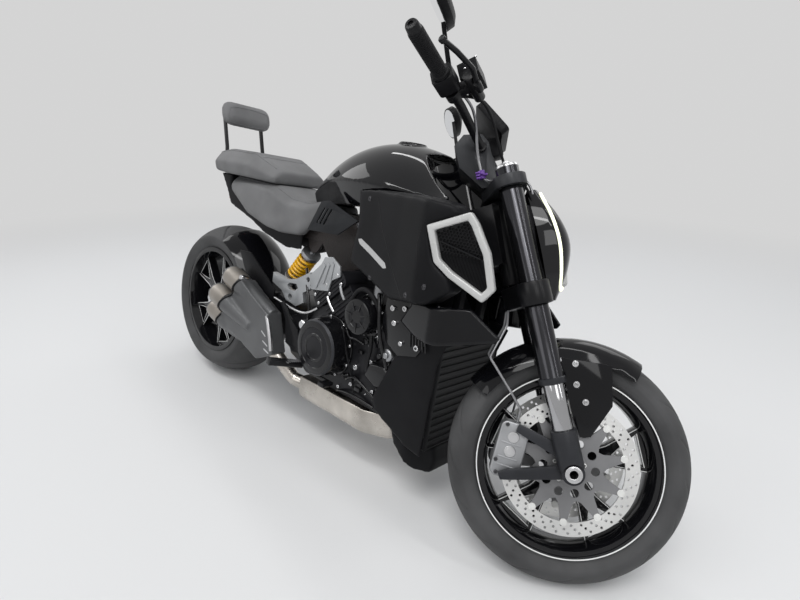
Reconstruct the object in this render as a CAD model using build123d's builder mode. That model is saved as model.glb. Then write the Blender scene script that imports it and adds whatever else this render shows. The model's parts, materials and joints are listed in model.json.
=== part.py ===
from build123d import *
from math import acos, asin, atan2, cos, degrees, pi, radians, sin, sqrt
import os

# A muscular four-cylinder power cruiser, parked on its side stand with its steering on the left stop.
# Chassis pieces are drawn upright in the bike frame: X forward from the rear axle, Y to the left, Z up
# from the floor. Steering pieces and the front wheel are drawn in the fork frame: X ahead of the fork
# legs, Y to the left, Z up along the legs from the front axle. The rear wheel is drawn about its axle.
# Each piece is then placed where it stands once the bike leans on its stand.

# Driving sizes, in millimetres and degrees
wheelbase = 1593
rake = 26
trail = 112
lean_angle = 11
steering_stop = 34
front_tyre_radius, front_tyre_half = 300, 60
rear_tyre_radius, rear_tyre_half = 324, 120
bead_radius = 215.9
rim_lip_radius = 226
front_rim_half, rear_rim_half = 49, 107
running_gap = 0.3
bolt_gap = 0.05
clear_of_moving = 6

# Fork
fork_spread = 105
outer_tube_radius, inner_tube_radius, foot_radius = 29, 25, 31
outer_tube_low, outer_tube_high = 213, 752
foot_high = 100
lower_yoke_low, lower_yoke_high = 405, 462
upper_yoke_low, upper_yoke_high = 702, 730
yoke_eye_radius = 42
stem_radius, head_tube_radius = 16, 30
front_axle_radius, front_axle_bore, front_axle_half = 14, 10, 130
hub_half = 56
boss_inner, boss_outer = 84, 122

# Front brakes
front_disc_radius, front_disc_inner = 165, 130
front_disc_face, front_disc_thick = 62, 5
caliper_angle = 153
caliper_length, caliper_inner, caliper_outer = 138, 112, 184
caliper_low_side, caliper_high_side = 42, 83

# Handlebar: points in the fork frame for the right side, mirrored to the left
bar_radius = 11
bar_clamp_point = (-48, -62, 838)
bar_bend_point = (-84, -200, 893)
bar_end_point = (-156, -430, 965)
grip_radius = 16.5

# Engine
crank_x, crank_z = 945, 400
case_half, head_half = 130, 148
banks = [(42, 221), (132, 201)]  # angle above forward, crank to head
bank_length, head_height, head_length = 150, 56, 168
case_points = [
    (665, 330), (700, 270), (800, 240), (1060, 240), (1110, 290), (1110, 400), (1040, 470), (880, 490), (780, 520), (700, 480),
    (665, 440),
]
cover_table = [  # centre, radius, reach, side: 1 right, -1 left
    (822, 384, 92, 76, 1),
    (975, 528, 55, 58, 1),
    (925, 372, 84, 56, -1),
]
plate_thick = 7
pivot_x, pivot_z = 612, 392
lug_thick, lug_radius, spindle_radius = 15, 34, 13
output_x, output_z = 690, 398

# Frame, seats and bodywork
frame_half, spine_half, tail_half = 150, 70, 95
steering_room = 160
seat_gap = 0.3
stay_y, stay_thick, stay_wide = 84, 5, 24
pad_height, pad_half_width, pad_half_height = 1103, 112, 50
stay_foot, stay_knee, stay_head = (0, 868.5), (-14, 975), (-58, pad_height + 17)
cover_y = 142
panel_outer = 262
ring_turn, ring_depth, ring_width = 17, 24, 17
duct_depth, duct_open = 60, 14
cell_size, cell_wall = 12, 2.2
column_count, row_count = 9, 11

# Exhaust
collector_low, collector_high = 148, 232
pipe_radius, link_radius = 21, 24
silencer_y = -177
lobe_table = [(215, 0), (172, 24), (140, 0)]  # length ahead of the strap, how far it stands out
lobe_angle, lobe_radius, lobe_pitch, tip_length = 165, 41, 94, 98
strap_point, strap_angle = (344, 468), 236.5

# Radiator
radiator_rear, radiator_front, radiator_half = 1226, 1262, 150
radiator_low, radiator_high = 214, 520
fin_count = 14
fin_slot, fin_depth = 12, 4

# Footrests
bracket_y, peg_x, peg_z, peg_length = 150, 744, 298, 116
peg_way = (-30, -110, 18)

# Rear end
arm_inner, arm_outer, arm_front_half = 128, 172, 112
carrier_radius, carrier_inner = 72, 70
shock_y, shock_room = -48, 40
shock_low, shock_high = Vector(446, -48, 492), Vector(590, -48, 668)
lug_inner, lug_outer = 12, 20
spring_radius, spring_wire, spring_start, spring_length = 30, 6, 52, 124
turn_count = 6
hugger_gap, hugger_wall, hugger_half = 12, 4, 126
hugger_front_angle, hugger_rear_angle = 12, 74
rear_caliper_angle = 200
guard_reach = 36
cover_radius, cover_face = 62, 206
rear_axle_radius, rear_axle_bore = 28, 20.5
sprocket_face, sprocket_thick = 191.5, 7
chain_pitch = 15.875
rear_sprocket_teeth, front_sprocket_teeth = 43, 15
rear_disc_radius = 132
rear_disc_face, rear_disc_thick = 40, 5

# Side stand
stand_pivot = (742, 150, 205)
stand_foot = (820, 292)
stand_folded_way = (-1, 0.05, 0.06)
stand_foot_half, stand_pad_thick = 26, 8
eye_radius, hinge_radius, leg_thick, cheek_thick = 19, 7, 14, 8
bracket_reach, stand_bracket_angle = 62, 236


def along(angle, distance):
    """A point at a distance from the origin in the X-Z plane, the angle measured up from forward."""
    return (distance * cos(radians(angle)), distance * sin(radians(angle)))


# Steering geometry
fork_offset = front_tyre_radius * sin(radians(rake)) - trail * cos(radians(rake))
fork_plane = Plane(
    origin=(wheelbase, 0, front_tyre_radius),
    x_dir=(cos(radians(rake)), 0, sin(radians(rake))),
    z_dir=(-sin(radians(rake)), 0, cos(radians(rake))),
)
turned = Location((-fork_offset, 0, 0)) * Location((0, 0, 0), (0, 0, steering_stop)) * Location((fork_offset, 0, 0))

# Crown arcs of the tyres
front_shoulder, rear_shoulder = front_tyre_radius - 38, rear_tyre_radius - 52


def crown_radius(tyre_radius, shoulder, half):
    rise = tyre_radius - shoulder
    return (half**2 + rise**2) / (2 * rise)


front_crown = crown_radius(front_tyre_radius, front_shoulder, front_tyre_half)
rear_crown = crown_radius(rear_tyre_radius, rear_shoulder, rear_tyre_half)


def tyre_foot(wheel, tyre_radius, crown):
    """Height of a tyre's lowest point, for a wheel placed by its location."""
    axle = Plane(wheel).y_dir
    return wheel.position.Z - (tyre_radius - crown) * sqrt(1 - axle.Z**2) - crown


def leaning(pitch):
    return Location((0, 0, 0), (-lean_angle, 0, 0)) * Location((0, 0, 0), (0, pitch, 0))


def feet(pitch):
    rear = tyre_foot(leaning(pitch) * Location((0, 0, rear_tyre_radius)), rear_tyre_radius, rear_crown)
    front = tyre_foot(leaning(pitch) * fork_plane.location * turned, front_tyre_radius, front_crown)
    return rear, front


# The pitch at which both tyres stand on the floor, by the secant rule
low_pitch, high_pitch = 0.0, 0.5
for step in range(6):
    low_gap = feet(low_pitch)[0] - feet(low_pitch)[1]
    high_gap = feet(high_pitch)[0] - feet(high_pitch)[1]
    if abs(high_gap - low_gap) < 1e-12:
        break
    low_pitch, high_pitch = high_pitch, high_pitch - high_gap * (high_pitch - low_pitch) / (high_gap - low_gap)
chassis = Location((0, 0, -feet(high_pitch)[0])) * leaning(high_pitch)
steering = chassis * fork_plane.location * turned
rear_wheel_place = chassis * Location((0, 0, rear_tyre_radius))

# How far round its crown each tyre touches the floor
front_contact = asin(abs(Plane(steering).y_dir.Z))
rear_contact = asin(abs(Plane(rear_wheel_place).y_dir.Z))

pieces = {}


def keep(made, label, place):
    """Names a finished piece and notes where it stands."""
    made.part.label = label
    pieces[label] = (made.part, place)


def bow(half, edge, top, first, count):
    """Corners along the arc from (half, edge) over (0, top) to (-half, edge), the first pair at a set angle."""
    radius = crown_radius(top, edge, half)
    sweep = asin(half / radius)
    angles = [first + (sweep - first) * step / (count - 1) for step in range(count)]
    one_side = [(radius * sin(angle), top - radius + radius * cos(angle)) for angle in reversed(angles)]
    return one_side + [(0, top)] + [(-across, up) for across, up in reversed(one_side)]


# Tyres: a bead that sits between the rim's lips, a round sidewall and a crowned tread
def tyre_profile(tyre_radius, shoulder, half, rim_half, contact):
    seat = rim_half - 5 - running_gap
    lip = rim_lip_radius + running_gap
    side_r = (lip + shoulder) / 2 - 2
    tread = bow(half, shoulder, tyre_radius, contact, 3)
    with BuildSketch(Plane.XY) as profile:
        Polygon(
            (seat, bead_radius), (seat, lip), (half - 3, side_r), *tread, (-half + 3, side_r), (-seat, lip), (-seat, bead_radius),
            align=None,
        )
    return profile.sketch


wheel_profile_plane = Plane(origin=(0, 0, 0), x_dir=(0, 1, 0), z_dir=(1, 0, 0))

with BuildPart() as front_tyre:
    with BuildSketch(wheel_profile_plane):
        add(tyre_profile(front_tyre_radius, front_shoulder, front_tyre_half, front_rim_half, front_contact))
    revolve(axis=Axis.Y)
keep(front_tyre, "front_tyre", steering)

with BuildPart() as rear_tyre:
    with BuildSketch(wheel_profile_plane):
        add(tyre_profile(rear_tyre_radius, rear_shoulder, rear_tyre_half, rear_rim_half, rear_contact))
    revolve(axis=Axis.Y)
keep(rear_tyre, "rear_tyre", rear_wheel_place)


# Wheels: a barrel with two lips, and five forked spokes, each with a window between its two legs
barrel_wall = 6
spoke_count = 5
drop_radius = 202


def barrel_profile(rim_half):
    lip_wall = 5
    inner = drop_radius - barrel_wall
    well = rim_half * 0.45
    with BuildSketch(Plane.XY) as profile:
        with BuildLine():
            Polyline(
                (-rim_half, inner + 12),
                (-rim_half, rim_lip_radius),
                (-rim_half + lip_wall, rim_lip_radius),
                (-rim_half + lip_wall, bead_radius - running_gap),
                (-well - 8, bead_radius - running_gap),
                (-well, drop_radius),
                (well, drop_radius),
                (well + 8, bead_radius - running_gap),
                (rim_half - lip_wall, bead_radius - running_gap),
                (rim_half - lip_wall, rim_lip_radius),
                (rim_half, rim_lip_radius),
                (rim_half, inner + 12),
                (well, inner),
                (-well, inner),
                close=True,
            )
        make_face()
    return profile.sketch


def forked_spokes(mid, half_thick, hub_radius, reach):
    """Five spokes that leave the hub as one root and reach the rim as two legs round a window."""
    root, fork, tip, leg = 21, 27, 60, 15
    with BuildPart() as spokes:
        with BuildSketch(Plane.XZ.offset(-mid)):
            with PolarLocations(0, spoke_count):
                Polygon(
                    (hub_radius - 6, -root), (hub_radius - 6, root), (105, fork), (reach, tip), (reach, -tip), (105, -fork),
                    align=None,
                )
            with PolarLocations(0, spoke_count):
                Polygon(
                    (112, 0), (150, fork - leg + 12), (reach - 12, tip - leg - 3), (reach - 12, -tip + leg + 3),
                    (150, -fork + leg - 12),
                    align=None, mode=Mode.SUBTRACT,
                )
        extrude(amount=half_thick, both=True)
    return spokes.part


with BuildPart() as front_wheel:
    with BuildSketch(wheel_profile_plane):
        add(barrel_profile(front_rim_half))
    revolve(axis=Axis.Y)
    add(forked_spokes(0, 14, 32, drop_radius - 3))
    with BuildSketch(Plane.XZ):
        Circle(32)
    extrude(amount=hub_half, both=True)
    with BuildSketch(Plane.XZ):
        Circle(front_axle_radius + running_gap)
    extrude(amount=hub_half, both=True, mode=Mode.SUBTRACT)
keep(front_wheel, "front_wheel", steering)

rear_spoke_mid, rear_spoke_half = -58, 18
rear_hub_radius = 46
rear_hub_right, rear_hub_left = -92, 30
with BuildPart() as rear_wheel:
    with BuildSketch(wheel_profile_plane):
        add(barrel_profile(rear_rim_half))
    revolve(axis=Axis.Y)
    add(forked_spokes(rear_spoke_mid, rear_spoke_half, rear_hub_radius, drop_radius + 2))
    with BuildSketch(Plane.XZ.offset(-rear_hub_left)):
        Circle(rear_hub_radius)
    extrude(amount=rear_hub_left - rear_hub_right)
    with BuildSketch(Plane.XZ.offset(-rear_hub_left)):
        Circle(rear_axle_radius + bolt_gap)
    extrude(amount=rear_hub_left - rear_hub_right, mode=Mode.SUBTRACT)
keep(rear_wheel, "rear_wheel", rear_wheel_place)

axle_left, axle_nut_width = 206, 20
with BuildPart() as rear_axle:
    with BuildSketch(Plane.XZ.offset(-axle_left)):
        Circle(rear_axle_radius)
    extrude(amount=axle_left - rear_hub_right)
    with BuildSketch(Plane.XZ.offset(-rear_hub_right)):
        RegularPolygon(38, 6)
    extrude(amount=axle_nut_width)
    with BuildSketch(Plane.XZ.offset(-axle_left)):
        Circle(rear_axle_bore)
    extrude(amount=axle_left - rear_hub_right + axle_nut_width, mode=Mode.SUBTRACT)
keep(rear_axle, "rear_axle", rear_wheel_place)


# Brake discs: a drilled ring held by a spider
def brake_disc(face, thick, outer, inner, spider_arms, ring_radius, bore):
    with BuildPart() as disc:
        with BuildSketch(Plane.XZ.offset(-face - thick)):
            Circle(outer)
            Circle(inner, mode=Mode.SUBTRACT)
            Circle(ring_radius)
            with PolarLocations((ring_radius + inner + 8) / 2 - 4, spider_arms):
                Rectangle(inner + 16 - ring_radius, 13)
            Circle(bore, mode=Mode.SUBTRACT)
        extrude(amount=thick)
    return disc.part


with BuildPart() as front_discs:
    add(brake_disc(front_disc_face, front_disc_thick, front_disc_radius, front_disc_inner, 10, 58, 26))
    with BuildSketch(Plane.XZ.offset(-front_disc_face)):
        Circle(48)
        Circle(26, mode=Mode.SUBTRACT)
    extrude(amount=front_disc_face - hub_half)
    mirror(about=Plane.XZ)
keep(front_discs, "front_discs", steering)

with BuildPart() as rear_disc:
    add(brake_disc(rear_disc_face, rear_disc_thick, rear_disc_radius, 98, 6, 50, rear_axle_radius + bolt_gap))
    with BuildSketch(Plane.XZ.offset(-rear_disc_face)):
        Circle(44)
        Circle(rear_axle_radius + bolt_gap, mode=Mode.SUBTRACT)
    extrude(amount=rear_disc_face - rear_hub_left)
keep(rear_disc, "rear_disc", rear_wheel_place)


def pitch_radius(teeth):
    return chain_pitch / (2 * sin(pi / teeth))


def sprocket(teeth, bore, face, tip_gap):
    tip = pitch_radius(teeth) - tip_gap
    root = tip - 6
    with BuildPart() as wheel:
        with BuildSketch(Plane.XZ.offset(-face - sprocket_thick)):
            Circle(root)
            with PolarLocations(root + 2, teeth):
                Trapezoid(9, 8, 70, rotation=-90)
            Circle(bore, mode=Mode.SUBTRACT)
        extrude(amount=sprocket_thick)
    return wheel.part


with BuildPart() as rear_sprocket:
    add(sprocket(rear_sprocket_teeth, rear_axle_radius + bolt_gap, sprocket_face, 2.2))
    with BuildSketch(Plane.XZ.offset(-sprocket_face - sprocket_thick - 1)):
        with PolarLocations(66, 5):
            SlotOverall(44, 20, rotation=90)
    extrude(amount=sprocket_thick + 2, mode=Mode.SUBTRACT)
keep(rear_sprocket, "rear_sprocket", rear_wheel_place)

# Front sprocket, on the gearbox shaft
with BuildPart() as front_sprocket:
    add(sprocket(front_sprocket_teeth, 12, sprocket_face, seat_gap))
    with BuildSketch(Plane.XZ.offset(-sprocket_face - sprocket_thick)):
        Circle(12)
    extrude(amount=sprocket_face + sprocket_thick - case_half)
keep(front_sprocket, "front_sprocket", chassis * Location((output_x, 0, output_z)))

# Chain: a closed loop of links with side plates each side of the sprockets' teeth
chain_half_height, chain_plate_gap, chain_width = 7.2, 5, 13.5
rear_centre = (0, rear_tyre_radius)
front_centre = (output_x, output_z)


def chain_loop(grow, rear_r, front_r):
    """The outline of a belt round both sprockets, as a sketch in the X-Z plane."""
    dx, dz = front_centre[0] - rear_centre[0], front_centre[1] - rear_centre[1]
    span = sqrt(dx**2 + dz**2)
    tilt = degrees(atan2(dz, dx))
    swing = degrees(acos((rear_r - front_r) / span))
    big, small = rear_r + grow, front_r + grow

    def on(centre, radius, angle):
        shift = along(angle, radius)
        return (centre[0] + shift[0], centre[1] + shift[1])

    with BuildSketch(Plane.XY) as loop:
        with BuildLine():
            a, b = on(rear_centre, big, tilt + swing), on(rear_centre, big, tilt - swing)
            c, d = on(front_centre, small, tilt - swing), on(front_centre, small, tilt + swing)
            ThreePointArc(a, on(rear_centre, big, tilt + 180), b)
            Line(b, c)
            ThreePointArc(c, on(front_centre, small, tilt), d)
            Line(d, a)
        make_face()
    return loop.sketch


chain_mid = sprocket_face + sprocket_thick / 2
rear_pitch_r, front_pitch_r = pitch_radius(rear_sprocket_teeth), pitch_radius(front_sprocket_teeth)
with BuildPart() as drive_chain:
    with BuildSketch(Plane.XZ.offset(-chain_mid - chain_width / 2)):
        add(chain_loop(chain_half_height, rear_pitch_r, front_pitch_r))
        add(chain_loop(-chain_half_height, rear_pitch_r, front_pitch_r), mode=Mode.SUBTRACT)
    extrude(amount=chain_width)
    with BuildSketch(Plane.XZ.offset(-chain_mid - chain_plate_gap)):
        add(chain_loop(0, rear_pitch_r, front_pitch_r))
        add(chain_loop(-chain_half_height - 1, rear_pitch_r, front_pitch_r), mode=Mode.SUBTRACT)
    extrude(amount=2 * chain_plate_gap, mode=Mode.SUBTRACT)
keep(drive_chain, "drive_chain", chassis)

# Fork: two outer tubes, and feet that carry the sliders, the axle and the calipers
with BuildPart() as fork_tubes:
    with Locations((0, fork_spread, outer_tube_low), (0, -fork_spread, outer_tube_low)):
        Cylinder(outer_tube_radius, outer_tube_high - outer_tube_low, align=(Align.CENTER, Align.CENTER, Align.MIN))
        Cylinder(outer_tube_radius + 2.5, 14, align=(Align.CENTER, Align.CENTER, Align.MIN))
    with Locations((0, fork_spread, outer_tube_high), (0, -fork_spread, outer_tube_high)):
        Cylinder(outer_tube_radius - 8, 8, align=(Align.CENTER, Align.CENTER, Align.MIN))
keep(fork_tubes, "fork_tubes", steering)

with BuildPart() as fork_sliders:
    with Locations((0, fork_spread, foot_high), (0, -fork_spread, foot_high)):
        Cylinder(inner_tube_radius, outer_tube_low - foot_high, align=(Align.CENTER, Align.CENTER, Align.MIN))
keep(fork_sliders, "fork_sliders", steering)

carrier_plate_thick = 13
with BuildPart() as fork_feet:
    with Locations((0, -fork_spread, 8)):
        Cylinder(foot_radius, foot_high - 8, align=(Align.CENTER, Align.CENTER, Align.MIN))
    with BuildSketch(Plane.XZ.offset(boss_inner)):
        Circle(27)
        Polygon((-8, 20), (-6, 60), (-96, 128), (-108, 112), (-44, 52), align=None)
        Polygon((0, -20), (0, 14), (-150, 26), (-172, 22), (-170, 6), (-150, 2), align=None)
    extrude(amount=carrier_plate_thick)
    with BuildSketch(Plane.XZ.offset(boss_inner)):
        Circle(27)
    extrude(amount=boss_outer - boss_inner)
    with BuildSketch(Plane.XZ.offset(hub_half + 2)):
        Circle(18)
    extrude(amount=boss_inner - hub_half - 2)
    with BuildSketch(Plane.XZ.offset(hub_half)):
        Circle(front_axle_radius + bolt_gap)
    extrude(amount=boss_outer, mode=Mode.SUBTRACT)
    with BuildSketch(Plane.XZ.offset(boss_outer)):
        Circle(25)
    extrude(amount=2 * foot_radius, mode=Mode.SUBTRACT)
    mirror(about=Plane.XZ)
keep(fork_feet, "fork_feet", steering)

with BuildPart() as front_axle:
    with BuildSketch(Plane.XZ.offset(-boss_outer)):
        Circle(front_axle_radius)
    extrude(amount=2 * boss_outer)
    with BuildSketch(Plane.XZ.offset(boss_outer)):
        Circle(20)
    extrude(amount=front_axle_half - boss_outer)
    with BuildSketch(Plane.XZ.offset(-front_axle_half)):
        RegularPolygon(21, 6)
    extrude(amount=front_axle_half - boss_outer)
    with BuildSketch(Plane.XZ.offset(-front_axle_half)):
        Circle(front_axle_bore)
    extrude(amount=2 * front_axle_half, mode=Mode.SUBTRACT)
keep(front_axle, "front_axle", steering)


def yoke_outline():
    with BuildSketch(Plane.XY) as outline:
        with Locations((0, fork_spread), (0, -fork_spread)):
            Circle(yoke_eye_radius)
        with Locations((-fork_offset, 0)):
            Circle(yoke_eye_radius - 4)
        make_hull()
        with Locations((0, fork_spread), (0, -fork_spread)):
            Circle(outer_tube_radius + bolt_gap, mode=Mode.SUBTRACT)
    return outline.sketch


with BuildPart() as lower_yoke:
    with BuildSketch(Plane.XY.offset(lower_yoke_low)):
        add(yoke_outline())
    extrude(amount=lower_yoke_high - lower_yoke_low)
    with Locations((-fork_offset, 0, lower_yoke_high)):
        Cylinder(stem_radius, upper_yoke_low - lower_yoke_high, align=(Align.CENTER, Align.CENTER, Align.MIN))
keep(lower_yoke, "lower_yoke", steering)

# The handlebar is clamped in one cast block on the upper yoke
bar_thick_radius = bar_radius + 3
clamp_x, clamp_z = bar_clamp_point[0], bar_clamp_point[2]
clamp_half, clamp_front = 58, 24
with BuildPart() as upper_yoke:
    with BuildSketch(Plane.XY.offset(upper_yoke_low)):
        add(yoke_outline())
    extrude(amount=upper_yoke_high - upper_yoke_low)
    with BuildSketch(Plane.XZ.offset(-clamp_half)):
        Polygon(
            (clamp_x - 18, upper_yoke_high), (clamp_x - 64, clamp_z - 40), (clamp_x - 66, clamp_z + 20), (clamp_x - 36, clamp_z + 44),
            (clamp_x + 12, clamp_z + 34), (clamp_x + clamp_front, clamp_z + 8), (clamp_x + clamp_front, clamp_z - 24),
            (clamp_x + 44, upper_yoke_high),
            align=None,
        )
    extrude(amount=2 * clamp_half)
    with BuildSketch(Plane.XZ.offset(-clamp_half)):
        with Locations((clamp_x, clamp_z)):
            Circle(bar_thick_radius + bolt_gap)
    extrude(amount=2 * clamp_half, mode=Mode.SUBTRACT)
    with BuildSketch(Plane.XY.offset(clamp_z)):
        with Locations((clamp_x, 0)):
            Rectangle(160, 12)
    extrude(amount=60, mode=Mode.SUBTRACT)
keep(upper_yoke, "upper_yoke", steering)

# Handlebar: thick between its clamps, rising and sweeping back to the grips
with BuildPart() as handlebar:
    with BuildLine() as bar_line:
        FilletPolyline(bar_clamp_point, bar_bend_point, bar_end_point, radius=90)
    with BuildSketch(Plane(bar_line.line @ 0, z_dir=bar_line.line % 0)):
        Circle(bar_radius)
    sweep()
    with BuildSketch(Plane.XZ):
        with Locations((clamp_x, clamp_z)):
            Circle(bar_thick_radius)
    extrude(amount=-bar_clamp_point[1] + 6)
    mirror(about=Plane.XZ)
keep(handlebar, "handlebar", steering)

bar_bend, bar_end = Vector(*bar_bend_point), Vector(*bar_end_point)
bar_way = (bar_end - bar_bend).normalized()
grip_length, control_length = 128, 46
bar_plane = Plane(origin=bar_end - bar_way * grip_length, x_dir=(1, 0, 0), z_dir=bar_way)
with BuildPart() as grips:
    with BuildSketch(bar_plane):
        Circle(grip_radius)
    extrude(amount=grip_length)
    with BuildSketch(bar_plane):
        Circle(grip_radius + 4)
    extrude(amount=5)
    with BuildSketch(bar_plane.offset(grip_length)):
        Circle(grip_radius - 1)
    extrude(amount=18, taper=8)
    with BuildSketch(bar_plane):
        Circle(bar_radius + bolt_gap)
    extrude(amount=grip_length, mode=Mode.SUBTRACT)
    mirror(about=Plane.XZ)
keep(grips, "grips", steering)

# Switch pods clamp the bar inboard of each grip
pod_plane = bar_plane.offset(-control_length - 3)
with BuildPart() as switch_pods:
    with BuildSketch(pod_plane):
        RectangleRounded(50, 44, 10)
    extrude(amount=control_length)
    with BuildSketch(pod_plane):
        Circle(bar_radius + bolt_gap)
    extrude(amount=control_length, mode=Mode.SUBTRACT)
    mirror(about=Plane.XZ)
keep(switch_pods, "switch_pods", steering)

# Brake and clutch levers: a clamp, a master cylinder with its reservoir, and the blade
master_plane = pod_plane.offset(-34)
lever_pivot = master_plane.location * Location((58, -6, 10))
with BuildPart() as hand_levers:
    with BuildSketch(master_plane):
        Circle(19)
        with Locations((28, 0)):
            Rectangle(36, 22)
        Circle(bar_radius + bolt_gap, mode=Mode.SUBTRACT)
    extrude(amount=22)
    with BuildSketch(Plane(master_plane.location * Location((48, -4, -34)))):
        Circle(13)
    extrude(amount=78)
    with BuildSketch(Plane(master_plane.location * Location((60, -22, 8)))):
        Circle(9)
    extrude(amount=26)
    with BuildLine() as blade_line:
        FilletPolyline(
            (lever_pivot * Location((0, -10, 8))).position,
            (lever_pivot * Location((8, -12, 60))).position,
            (lever_pivot * Location((-4, -12, 120))).position,
            (lever_pivot * Location((-16, -12, 160))).position,
            radius=26,
        )
    with BuildSketch(Plane(blade_line.line @ 0, z_dir=blade_line.line % 0)):
        Circle(6)
    sweep()
    with BuildSketch(Plane(blade_line.line @ 1, z_dir=blade_line.line % 1)):
        RegularPolygon(8, 8)
    extrude(amount=8)
    mirror(about=Plane.XZ)
keep(hand_levers, "hand_levers", steering)

# Fluid cups, each with a turn lamp in its outer face
cup_plane = Plane(master_plane.location * Location((46, 12, -14)))
with BuildPart() as fluid_cups:
    with Locations(cup_plane.location * Location((0, 32, 0))):
        Box(46, 44, 62)
    with Locations(cup_plane.location * Location((2, 1, 10))):
        Box(18, 24, 18)
    add(hand_levers.part, mode=Mode.SUBTRACT)
    mirror(about=Plane.XZ)
keep(fluid_cups, "fluid_cups", steering)

def oval(half_wide, half_high, count):
    """Corners round an ellipse."""
    turns = [2 * pi * step / count for step in range(count)]
    return [(half_wide * cos(turn), half_high * sin(turn)) for turn in turns]


# Mirrors on tall stems that widen towards the heads
mirror_foot = master_plane.location * Location((0, 19.5, 11))
mirror_root = mirror_foot.position
mirror_top = Vector(mirror_root.X + 8, mirror_root.Y - 40, mirror_root.Z + 126)
with BuildPart() as mirrors:
    stem_way = mirror_top - mirror_root
    for start, wide, thick in ((mirror_root, 17, 12), (mirror_top, 36, 9)):
        with BuildSketch(Plane(start, x_dir=(0, 1, 0), z_dir=stem_way)):
            Rectangle(wide, thick)
    loft(ruled=True)
    head_plane = Plane(origin=mirror_top + Vector(8, -34, 26), x_dir=(0, 1, 0), z_dir=(0.9, -0.12, 0.3))
    for depth, shrink in ((-18, 0), (0, 0), (12, 16)):
        with BuildSketch(head_plane.offset(depth)):
            Polygon(*oval(80 - shrink, 42 - shrink, 20), align=None)
    loft(ruled=True)
    add(hand_levers.part, mode=Mode.SUBTRACT)
    mirror(about=Plane.XZ)
keep(mirrors, "mirrors", steering)

# Instrument display on an arm from the front of the handlebar clamp
display_place = Location((clamp_x + 54, 0, clamp_z + 67), (0, -118, 0))
with BuildPart() as display:
    with BuildSketch(Plane(display_place)):
        RectangleRounded(104, 176, 12)
    extrude(amount=24)
    with BuildSketch(Plane.XY.offset(clamp_z - 20)):
        with Locations((clamp_x + clamp_front, 0)):
            Rectangle(34, 44, align=(Align.MIN, Align.CENTER))
    extrude(amount=50)
keep(display, "display", steering)

# Headlamp: a tall shield-shaped housing in front of the yokes, deepest at mid height
lamp_sections = [  # height, half width, depth ahead of the yokes
    (409, 34, 22),
    (470, 74, 62),
    (545, 93, 86),
    (620, 88, 72),
    (697, 58, 34),
]
lamp_back = yoke_eye_radius
with BuildPart() as headlamp:
    for height, half, depth in lamp_sections:
        side, nose = lamp_back + 0.45 * depth, 0.55 * depth
        with BuildSketch(Plane.XY.offset(height)):
            Polygon(
                (lamp_back, half), (lamp_back, -half), (side, -half), (side + 0.5 * nose, -0.87 * half), (side + 0.87 * nose, -half / 2),
                (side + nose, 0), (side + 0.87 * nose, half / 2), (side + 0.5 * nose, 0.87 * half), (side, half),
                align=None,
            )
    loft(ruled=True)
keep(headlamp, "headlamp", steering)

# Front mudguard: a crown over the tyre, with a leg each side bolted ahead of the fork foot
guard_gap, guard_wall = 12, 4
guard_front_angle, guard_rear_angle = 42, 128
guard_half = 76


def guard_profile(half, edge, top, wall):
    """The section of a mudguard: a thin bow, open towards the axle."""
    first = asin(half / crown_radius(top, edge, half)) / 4
    with BuildSketch(Plane.XY) as profile:
        Polygon(*bow(half, edge, top + wall, first, 4), *reversed(bow(half - wall, edge, top, first, 4)), align=None)
    return profile.sketch


with BuildPart() as front_mudguard:
    with BuildSketch(wheel_profile_plane):
        add(guard_profile(guard_half, front_shoulder, front_tyre_radius + guard_gap, guard_wall))
    revolve(axis=Axis.Y)
    with BuildSketch(Plane.XZ.offset(-2 * guard_half)):
        far = 600
        Polygon(
            (0, 0), along(guard_rear_angle, far), (-far, 0), (-far, -far), (far, -far), (far, 0), along(guard_front_angle, far),
            align=None,
        )
    extrude(amount=4 * guard_half, mode=Mode.SUBTRACT)
    for start in (guard_half - guard_wall, -guard_half):
        with BuildSketch(Plane.XZ.offset(start)):
            Polygon((33, front_shoulder + 6), (150, 226), (130, 130), (64, 66), (40, 70), (33, 120), align=None)
        extrude(amount=guard_wall)
keep(front_mudguard, "front_mudguard", steering)

# Front calipers, gripping the trailing edge of each disc
slot_low = front_disc_face - clear_of_moving + 1
slot_high = front_disc_face + front_disc_thick + clear_of_moving - 1
with BuildPart() as front_calipers:
    with BuildSketch(Plane.XZ.offset(caliper_low_side)):
        with Locations(Location((0, 0, 0), (0, 0, caliper_angle))):
            with Locations(((caliper_inner + caliper_outer) / 2, 0)):
                RectangleRounded(caliper_outer - caliper_inner, caliper_length, 16)
    extrude(amount=caliper_high_side - caliper_low_side)
    with BuildSketch(Plane.XZ.offset(slot_low)):
        Circle(front_disc_radius + clear_of_moving)
    extrude(amount=slot_high - slot_low, mode=Mode.SUBTRACT)
    mirror(about=Plane.XZ)
keep(front_calipers, "front_calipers", steering)

# Brake hoses down to the calipers, each one smooth bend
hose_radius = 3.2
hose_points = [
    (-64, -40, lower_yoke_low), (-76, -60, 368), (-134, -84, 300), (-100, -83, 205), (-86, -75, 158), (-100.2, -75, 129.2),
]
with BuildPart() as brake_hoses:
    with BuildLine() as hose_line:
        FilletPolyline(*hose_points, radius=12)
    with BuildSketch(Plane(hose_line.line @ 0, z_dir=hose_line.line % 0)):
        RegularPolygon(hose_radius, 8)
    sweep()
    mirror(about=Plane.XZ)
keep(brake_hoses, "brake_hoses", steering)

# Fuel tank, as a form that its neighbours are also cut to fit
tank_sections = [  # station, half width, bottom, height of the widest line, top
    (560, 62, 812, 850, 884),
    (700, 122, 830, 900, 990),
    (900, 178, 842, 915, 1046),
    (1060, 184, 850, 908, 1026),
    (1215, 176, 862, 900, 952),
]
cap_x, cap_tilt = 930, 2


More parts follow.
